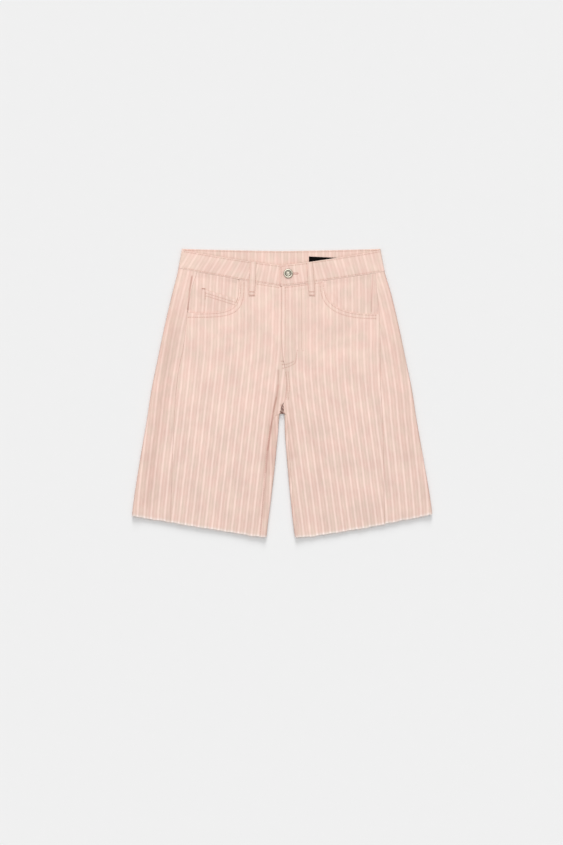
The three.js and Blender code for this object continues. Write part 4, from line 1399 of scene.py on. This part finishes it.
def striped_denim(name, stripes=1.0, depth=1.0):
    """stripes says how strongly the stripes show and depth how light the cloth is, both 1 on the legs. On the
    facings, depth below 1 is painted shade.
    """
    material, tree = new_material(name)
    cloth = node(tree, "VectorMath", {"operation": "SCALE"}, Vector=node(tree, "UVMap", {"uv_map": "cloth"}),
                 Scale=1000.0)
    place = node(tree, "SeparateXYZ", Vector=cloth)
    noises = {}
    for use, (across, along, detail, roughness, low, high, made_low, made_high) in CLOTH_NOISES.items():
        stretched = node(tree, "VectorMath", {"operation": "MULTIPLY"}, i0=cloth, i1=(across, along, 1.0))
        noise = node(tree, "TexNoise", {"noise_dimensions": "2D"}, Vector=stretched, Scale=1.0, Detail=detail,
                     Roughness=roughness)
        noises[use] = node(tree, "MapRange", Value=noise, From_Min=low, From_Max=high, To_Min=made_low,
                           To_Max=made_high)

    u = node(tree, "Math", {"operation": "ADD"}, i0=place.outputs[0], i1=noises["stray"])
    nearest = node(tree, "Math", {"operation": "PINGPONG"}, i0=u, i1=STRIPE / 2)
    light = node(tree, "MapRange", {"interpolation_type": "SMOOTHSTEP"}, Value=nearest,
                 From_Min=LIGHT_HALF - 0.55, From_Max=LIGHT_HALF + 0.55, To_Min=1.0, To_Max=0.0)
    middle = node(tree, "MapRange", {"interpolation_type": "SMOOTHSTEP"}, Value=nearest,
                  From_Min=STRIPE / 2 - MID_HALF - 0.7, From_Max=STRIPE / 2 - MID_HALF + 0.5)
    where = node(tree, "SeparateXYZ", Vector=node(tree, "TexCoord").outputs["Object"])
    washed = node(tree, "MapRange", Value=where.outputs[1], From_Min=WASHED.low, From_Max=WASHED.high,
                  To_Min=stripes, To_Max=stripes * WASHED.left)
    shown = node(tree, "Math", {"operation": "MULTIPLY"}, i0=noises["strength"], i1=washed)
    light = node(tree, "Math", {"operation": "MULTIPLY"}, i0=light, i1=shown)
    middle = node(tree, "Math", {"operation": "MULTIPLY"}, i0=middle, i1=shown)
    middle = node(tree, "Math", {"operation": "MULTIPLY"}, i0=middle, i1=MID_SHARE)

    colour = node(tree, "Mix", {"data_type": "RGBA"}, Factor=noises["tint"], A=linear(PALE_SHIFT),
                  B=linear(WARM_SHIFT))
    colour = node(tree, "Mix", {"data_type": "RGBA"}, Factor=0.75, A=linear(PINK), B=colour)
    colour = node(tree, "Mix", {"data_type": "RGBA"}, Factor=middle, A=colour, B=linear(MID_STRIPE))
    colour = node(tree, "Mix", {"data_type": "RGBA"}, Factor=light, A=colour, B=linear(LIGHT_STRIPE))
    shade = node(tree, "Math", {"operation": "MULTIPLY"}, i0=noises["streaks"], i1=noises["blotches"])
    shade = node(tree, "Math", {"operation": "MULTIPLY"}, i0=shade, i1=depth)
    colour = node(tree, "VectorMath", {"operation": "SCALE"}, Vector=colour, Scale=shade)
    # dark is the painted shade along stitch rows, creases and the edges of the legs; worn is the paler cut
    # hem.
    dark = node(tree, "Attribute", {"attribute_name": "dark"}).outputs["Fac"]
    worn = node(tree, "Attribute", {"attribute_name": "worn"}).outputs["Fac"]
    painted_shade = node(tree, "Mix", {"data_type": "RGBA", "clamp_factor": False}, Factor=dark, A=WHOLE, B=SHADE_TINT)
    edges = node(tree, "Mix", {"data_type": "RGBA"}, Factor=worn, A=WHOLE, B=WORN)
    for kept in (painted_shade, edges):
        colour = node(tree, "VectorMath", {"operation": "MULTIPLY"}, i0=colour, i1=kept)

    diagonal = node(tree, "Math", {"operation": "ADD"}, i0=place.outputs[0], i1=place.outputs[1])
    turns = node(tree, "Math", {"operation": "MULTIPLY"}, i0=diagonal, i1=2 * math.pi / TWILL)
    twill = node(tree, "Math", {"operation": "SINE"}, i0=turns)
    grain = node(tree, "Math", {"operation": "MULTIPLY_ADD"}, i0=twill, i1=0.35, i2=noises["fibres"])
    bump = node(tree, "Bump", Strength=0.35, Distance=0.12 * MM, Height=grain)
    shader = node(tree, "BsdfPrincipled", Base_Color=colour, Roughness=0.88, Normal=bump,
                  Specular_IOR_Level=0.25, Sheen_Weight=0.12, Sheen_Roughness=0.45,
                  Sheen_Tint=linear("#FFE9E0"))
    node(tree, "OutputMaterial", Surface=shader)
    return material


denim = striped_denim("striped cotton denim")
band_denim = striped_denim("waistband denim", 0.92, 0.975)  # doubled and pressed: fainter stripes, darker
pocket_denim = striped_denim("pocket facing denim", 1.1, 0.975)  # less washed, and darker by painted shade, for the shade under the front
print("materials", denim.name, band_denim.name, pocket_denim.name)

# %% [markdown]
# ## Thread, loose cotton, zip tape and satin
# These are all matte and a little uneven, so one function makes them: its flecks go between two colours,
# and stand out where the surface is rough to the eye.
# Topstitching thread is spun polyester, a little darker and warmer than the cloth. The buttonhole is sewn in
# rose thread, and the crotch tack in dark brown, which is partly painted shade for the gap between the legs.
# Its twist shows as fine flecks. The loose ends at the hems are raw cotton, paler than the cloth, because
# only the outside of each yarn took the dye. The zip tape is a dense cotton weave. The label is a black satin
# weave, whose fine ribs leave almost no shine.

# %% Matte materials
def flecked(name, dark, pale, scale, detail, roughness, relief=0.0, specular=0.5):
    """A matte material. scale is how many flecks lie along a metre, and relief their height in mm."""
    material, tree = new_material(name)
    place = node(tree, "TexCoord").outputs["Object"]
    flecks = node(tree, "TexNoise", Vector=place, Scale=scale, Detail=detail)
    colour = node(tree, "Mix", {"data_type": "RGBA"}, Factor=flecks, A=linear(dark), B=linear(pale))
    shader = node(tree, "BsdfPrincipled", Base_Color=colour, Roughness=roughness, Specular_IOR_Level=specular)
    if relief:
        bump = node(tree, "Bump", Strength=0.4, Distance=relief * MM, Height=flecks)
        tree.links.new(bump.outputs[0], shader.inputs["Normal"])
    node(tree, "OutputMaterial", Surface=shader)
    return material


def black_satin():
    material, tree = new_material("black satin weave")
    cloth = node(tree, "UVMap", {"uv_map": "cloth"})
    weave = node(tree, "TexWave", {"bands_direction": "Y"}, Vector=cloth, Scale=900.0, Distortion=1.0)
    ribs = weave.outputs["Fac"]
    colour = node(tree, "Mix", {"data_type": "RGBA"}, Factor=ribs, A=linear("#040302"), B=linear("#0A0806"))
    bump = node(tree, "Bump", Strength=0.3, Distance=0.05 * MM, Height=ribs)
    shader = node(tree, "BsdfPrincipled", Base_Color=colour, Roughness=0.7, Normal=bump,
                  Specular_IOR_Level=0.05)
    node(tree, "OutputMaterial", Surface=shader)
    return material


TWIST = 1800.0  # turns that show along a metre of thread
thread_material = flecked("spun polyester thread", "#BC8E7E", "#D2A798", TWIST, 2.0, 0.6, 0.05)
rose_thread = flecked("rose spun polyester thread", "#AA7064", "#C49084", TWIST, 2.0, 0.6, 0.05)
# The crotch tack's dark brown is partly painted shade, for the shade in the gap between the legs.
brown_thread_and_shade = flecked("brown spun polyester thread", "#5A3630", "#8C6258", TWIST, 2.0, 0.6, 0.05)
fray_material = flecked("frayed cotton yarn", "#EAD3C8", "#FFF6F1", 160.0, 2.0, 0.9)
tape = flecked("woven cotton zip tape", "#E2BCAE", "#F0D2C6", 900.0, 3.0, 0.85)
satin = black_satin()
print("materials", len(bpy.data.materials))

# %% [markdown]
# ## Brushed nickel
# The button is pressed brass with a nickel plating, brushed so that its highlights spread softly. Polish and
# wear leave a patina. The ring between the rim and the crown and the underside of the edge get painted shade,
# and the ramp also darkens a ring 2 mm from the middle. So the plating is darkened by a ramp of the distance
# from the button's middle. A metal keeps the default IOR, and its colour is that of its reflection.

# %% Brushed nickel material
GROOVE_SHADE_STOPS = [  # share of the ramp, which ends 10 mm from the middle, and what is left of the plating's light
    (0.20, 0.6), (0.26, 0.85), (0.36, 0.85), (0.44, 0.34), (0.57, 0.34), (0.64, 1.0), (0.79, 1.0),
]
UNDER_EDGE = (0.88, (0.4, 0.4, 0.38, 1.0))


def brushed_nickel():
    material, tree = new_material("brushed nickel plating")
    place = node(tree, "TexCoord").outputs["Object"]
    patina = node(tree, "TexNoise", Vector=place, Scale=420.0, Detail=4.0)
    colour = node(tree, "Mix", {"data_type": "RGBA"}, Factor=patina, A=linear("#B4AD9C"), B=linear("#E4DFD2"))
    middle = (BUTTON_X * MM, BUTTON_Y * MM, 0)
    centred = node(tree, "VectorMath", {"operation": "SUBTRACT"}, i0=place, i1=middle)
    flat = node(tree, "VectorMath", {"operation": "MULTIPLY"}, i0=centred, i1=(100, 100, 0))
    reach = node(tree, "VectorMath", {"operation": "LENGTH"}, i0=flat)
    # Painted shade: the ramp darkens the groove, the underside of the edge and a ring near the middle.
    groove_shade = node(tree, "ValToRGB", Fac=reach)
    stops = groove_shade.color_ramp.elements
    stops[0].color = WHOLE
    stops[1].position, stops[1].color = UNDER_EDGE
    for position, left in GROOVE_SHADE_STOPS:
        stops.new(position).color = (left, left, left * 0.98, 1)
    colour = node(tree, "Mix", {"data_type": "RGBA", "blend_type": "MULTIPLY"}, Factor=1.0, A=colour,
                  B=groove_shade)
    rough = node(tree, "MapRange", Value=patina, To_Min=0.28, To_Max=0.48)
    scratches = node(tree, "TexNoise", Vector=place, Scale=2600.0, Detail=2.0)
    bump = node(tree, "Bump", Strength=0.25, Distance=0.03 * MM, Height=scratches)
    shader = node(tree, "BsdfPrincipled", Base_Color=colour, Metallic=1.0, Roughness=rough, Normal=bump)
    node(tree, "OutputMaterial", Surface=shader)
    return material


nickel = brushed_nickel()
print("tarnish in", len(GROOVE_SHADE_STOPS), "steps")

# %% [markdown]
# ## Dress the model
# Each cloth piece takes the place of its solid, which stays behind for collision. The zip's plain tape is
# hidden behind the fly, so it keeps its solid and only gets its material.

# %% Put the pieces on the model
def put(piece, material, slot, *nodes):
    piece.data.materials.append(material)
    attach(piece, "root")
    if nodes:
        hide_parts(*nodes)


for side in LEGS:
    name = side.name
    put(fronts[name], denim, "denim", f"front_{name}")
    put(backs[name], denim, "denim", f"back_{name}")
    put(facings[name], pocket_denim, "denim", f"pocket_facing_{name}")
    put(loops[name], band_denim, "denim", f"belt_loop_{name}")
put(coin, pocket_denim, "denim", "coin_pocket")
put(band, band_denim, "denim", "waistband")
put(label, satin, "label", "label")
put(button, nickel, "button", "button")
for piece in thread_pieces:
    put(piece, thread_material, "denim")
put(hole_piece, rose_thread, "denim")
put(crotch_piece, brown_thread_and_shade, "denim")
for piece in fray.values():
    put(piece, fray_material, "denim")
zip_object = bpy.data.objects["fly_zip"]
zip_object.data.materials.clear()
zip_object.data.materials.append(tape)

# %% [markdown]
# ## The sheets
# The area of one side of each cloth shell is printed, in square metres.

def one_side_area(piece):
    """Half of a shell's whole surface, in square metres."""
    return sum(polygon.area for polygon in piece.data.polygons) / 2


for name, piece in (("front", fronts), ("back", backs), ("facing", facings), ("loop", loops)):
    for side, each in piece.items():
        print(name, side, "area", round(one_side_area(each), 4), "m2")
for each in (coin, band, label):
    print(each.name, "area", round(one_side_area(each), 4), "m2")

for side in LEGS:
    name = side.name

# %% [markdown]
# ## Floor and light
# The photo is a cut-out on an even pale grey. Its only shadow is a soft one below the hems, far longer than
# the cloth is thick, while the button casts none. So two lamps are kept apart: a low broad sun that only the
# floor receives, and a high soft key that only the shorts receive. A white surround lights both.

# %% Floor and light
FLOOR_HALF, FLOOR_DROP = 4.0, -0.4 * MM  # the floor lies just below the frayed ends


def floor():
    corners = [(-1, -1), (1, -1), (1, 1), (-1, 1)]
    mesh = bpy.data.meshes.new("floor")
    mesh.from_pydata([(FLOOR_HALF * x, FLOOR_HALF * y, FLOOR_DROP) for x, y in corners], [], [(0, 1, 2, 3)])
    mesh.materials.append(flecked("pale grey paper", "#F1F1F1", "#F2F2F2", 40.0, 2.0, 0.95, specular=0.0))
    piece = bpy.data.objects.new("floor", mesh)
    bpy.context.scene.collection.objects.link(piece)
    return piece


SURROUND_LOW, SURROUND_RISE = 0.30, 0.63
SUN_STRENGTH, SUN_ELEVATION, SUN_SPREAD = 2.24, 22, 24
KEY_POWER, KEY_SIZE = 34.5, 1.5
KEY_PLACE = (-0.25, 1.55, 2.0)


def surround():
    """A white surround that grows brighter with height, as under a large ceiling of diffusers."""
    world = bpy.data.worlds.new("surround")
    world.use_nodes = True
    tree = world.node_tree
    background = tree.nodes["Background"]
    way = node(tree, "TexCoord").outputs["Generated"]
    height = node(tree, "SeparateXYZ", Vector=way).outputs[2]
    strength = node(tree, "MapRange", Value=height, To_Min=SURROUND_LOW, To_Max=SURROUND_LOW + SURROUND_RISE)
    tree.links.new(strength.outputs[0], background.inputs["Strength"])
    background.inputs["Color"].default_value = (1.0, 1.0, 1.0, 1.0)
    bpy.context.scene.world = world


def lamp(name, data, place, turn, lights_up):
    """Adds a lamp that lights only the given objects."""
    thing = bpy.data.objects.new(name, data)
    thing.location = place
    thing.rotation_euler = turn
    bpy.context.scene.collection.objects.link(thing)
    lit = bpy.data.collections.new(name + " lights")
    for each in lights_up:
        lit.objects.link(each)
    thing.light_linking.receiver_collection = lit


clothes = [each for each in bpy.context.scene.objects if each.type == "MESH"]
floor_piece = floor()
surround()
sun_data = bpy.data.lights.new("low sun", "SUN")
sun_data.energy = SUN_STRENGTH
sun_data.angle = math.radians(SUN_SPREAD)
lamp("low sun", sun_data, (0, 0, 2), (math.radians(-(90 - SUN_ELEVATION)), 0, 0), [floor_piece])
key_data = bpy.data.lights.new("key", "AREA")
key_data.energy = KEY_POWER
key_data.size = KEY_SIZE
key_turn = (-math.atan2(KEY_PLACE[1], KEY_PLACE[2]), math.atan2(KEY_PLACE[0], KEY_PLACE[2]), 0)
lamp("key", key_data, KEY_PLACE, key_turn, clothes)
bpy.context.scene.view_settings.view_transform = "Standard"
print("surround", SURROUND_LOW, "to", SURROUND_LOW + SURROUND_RISE)
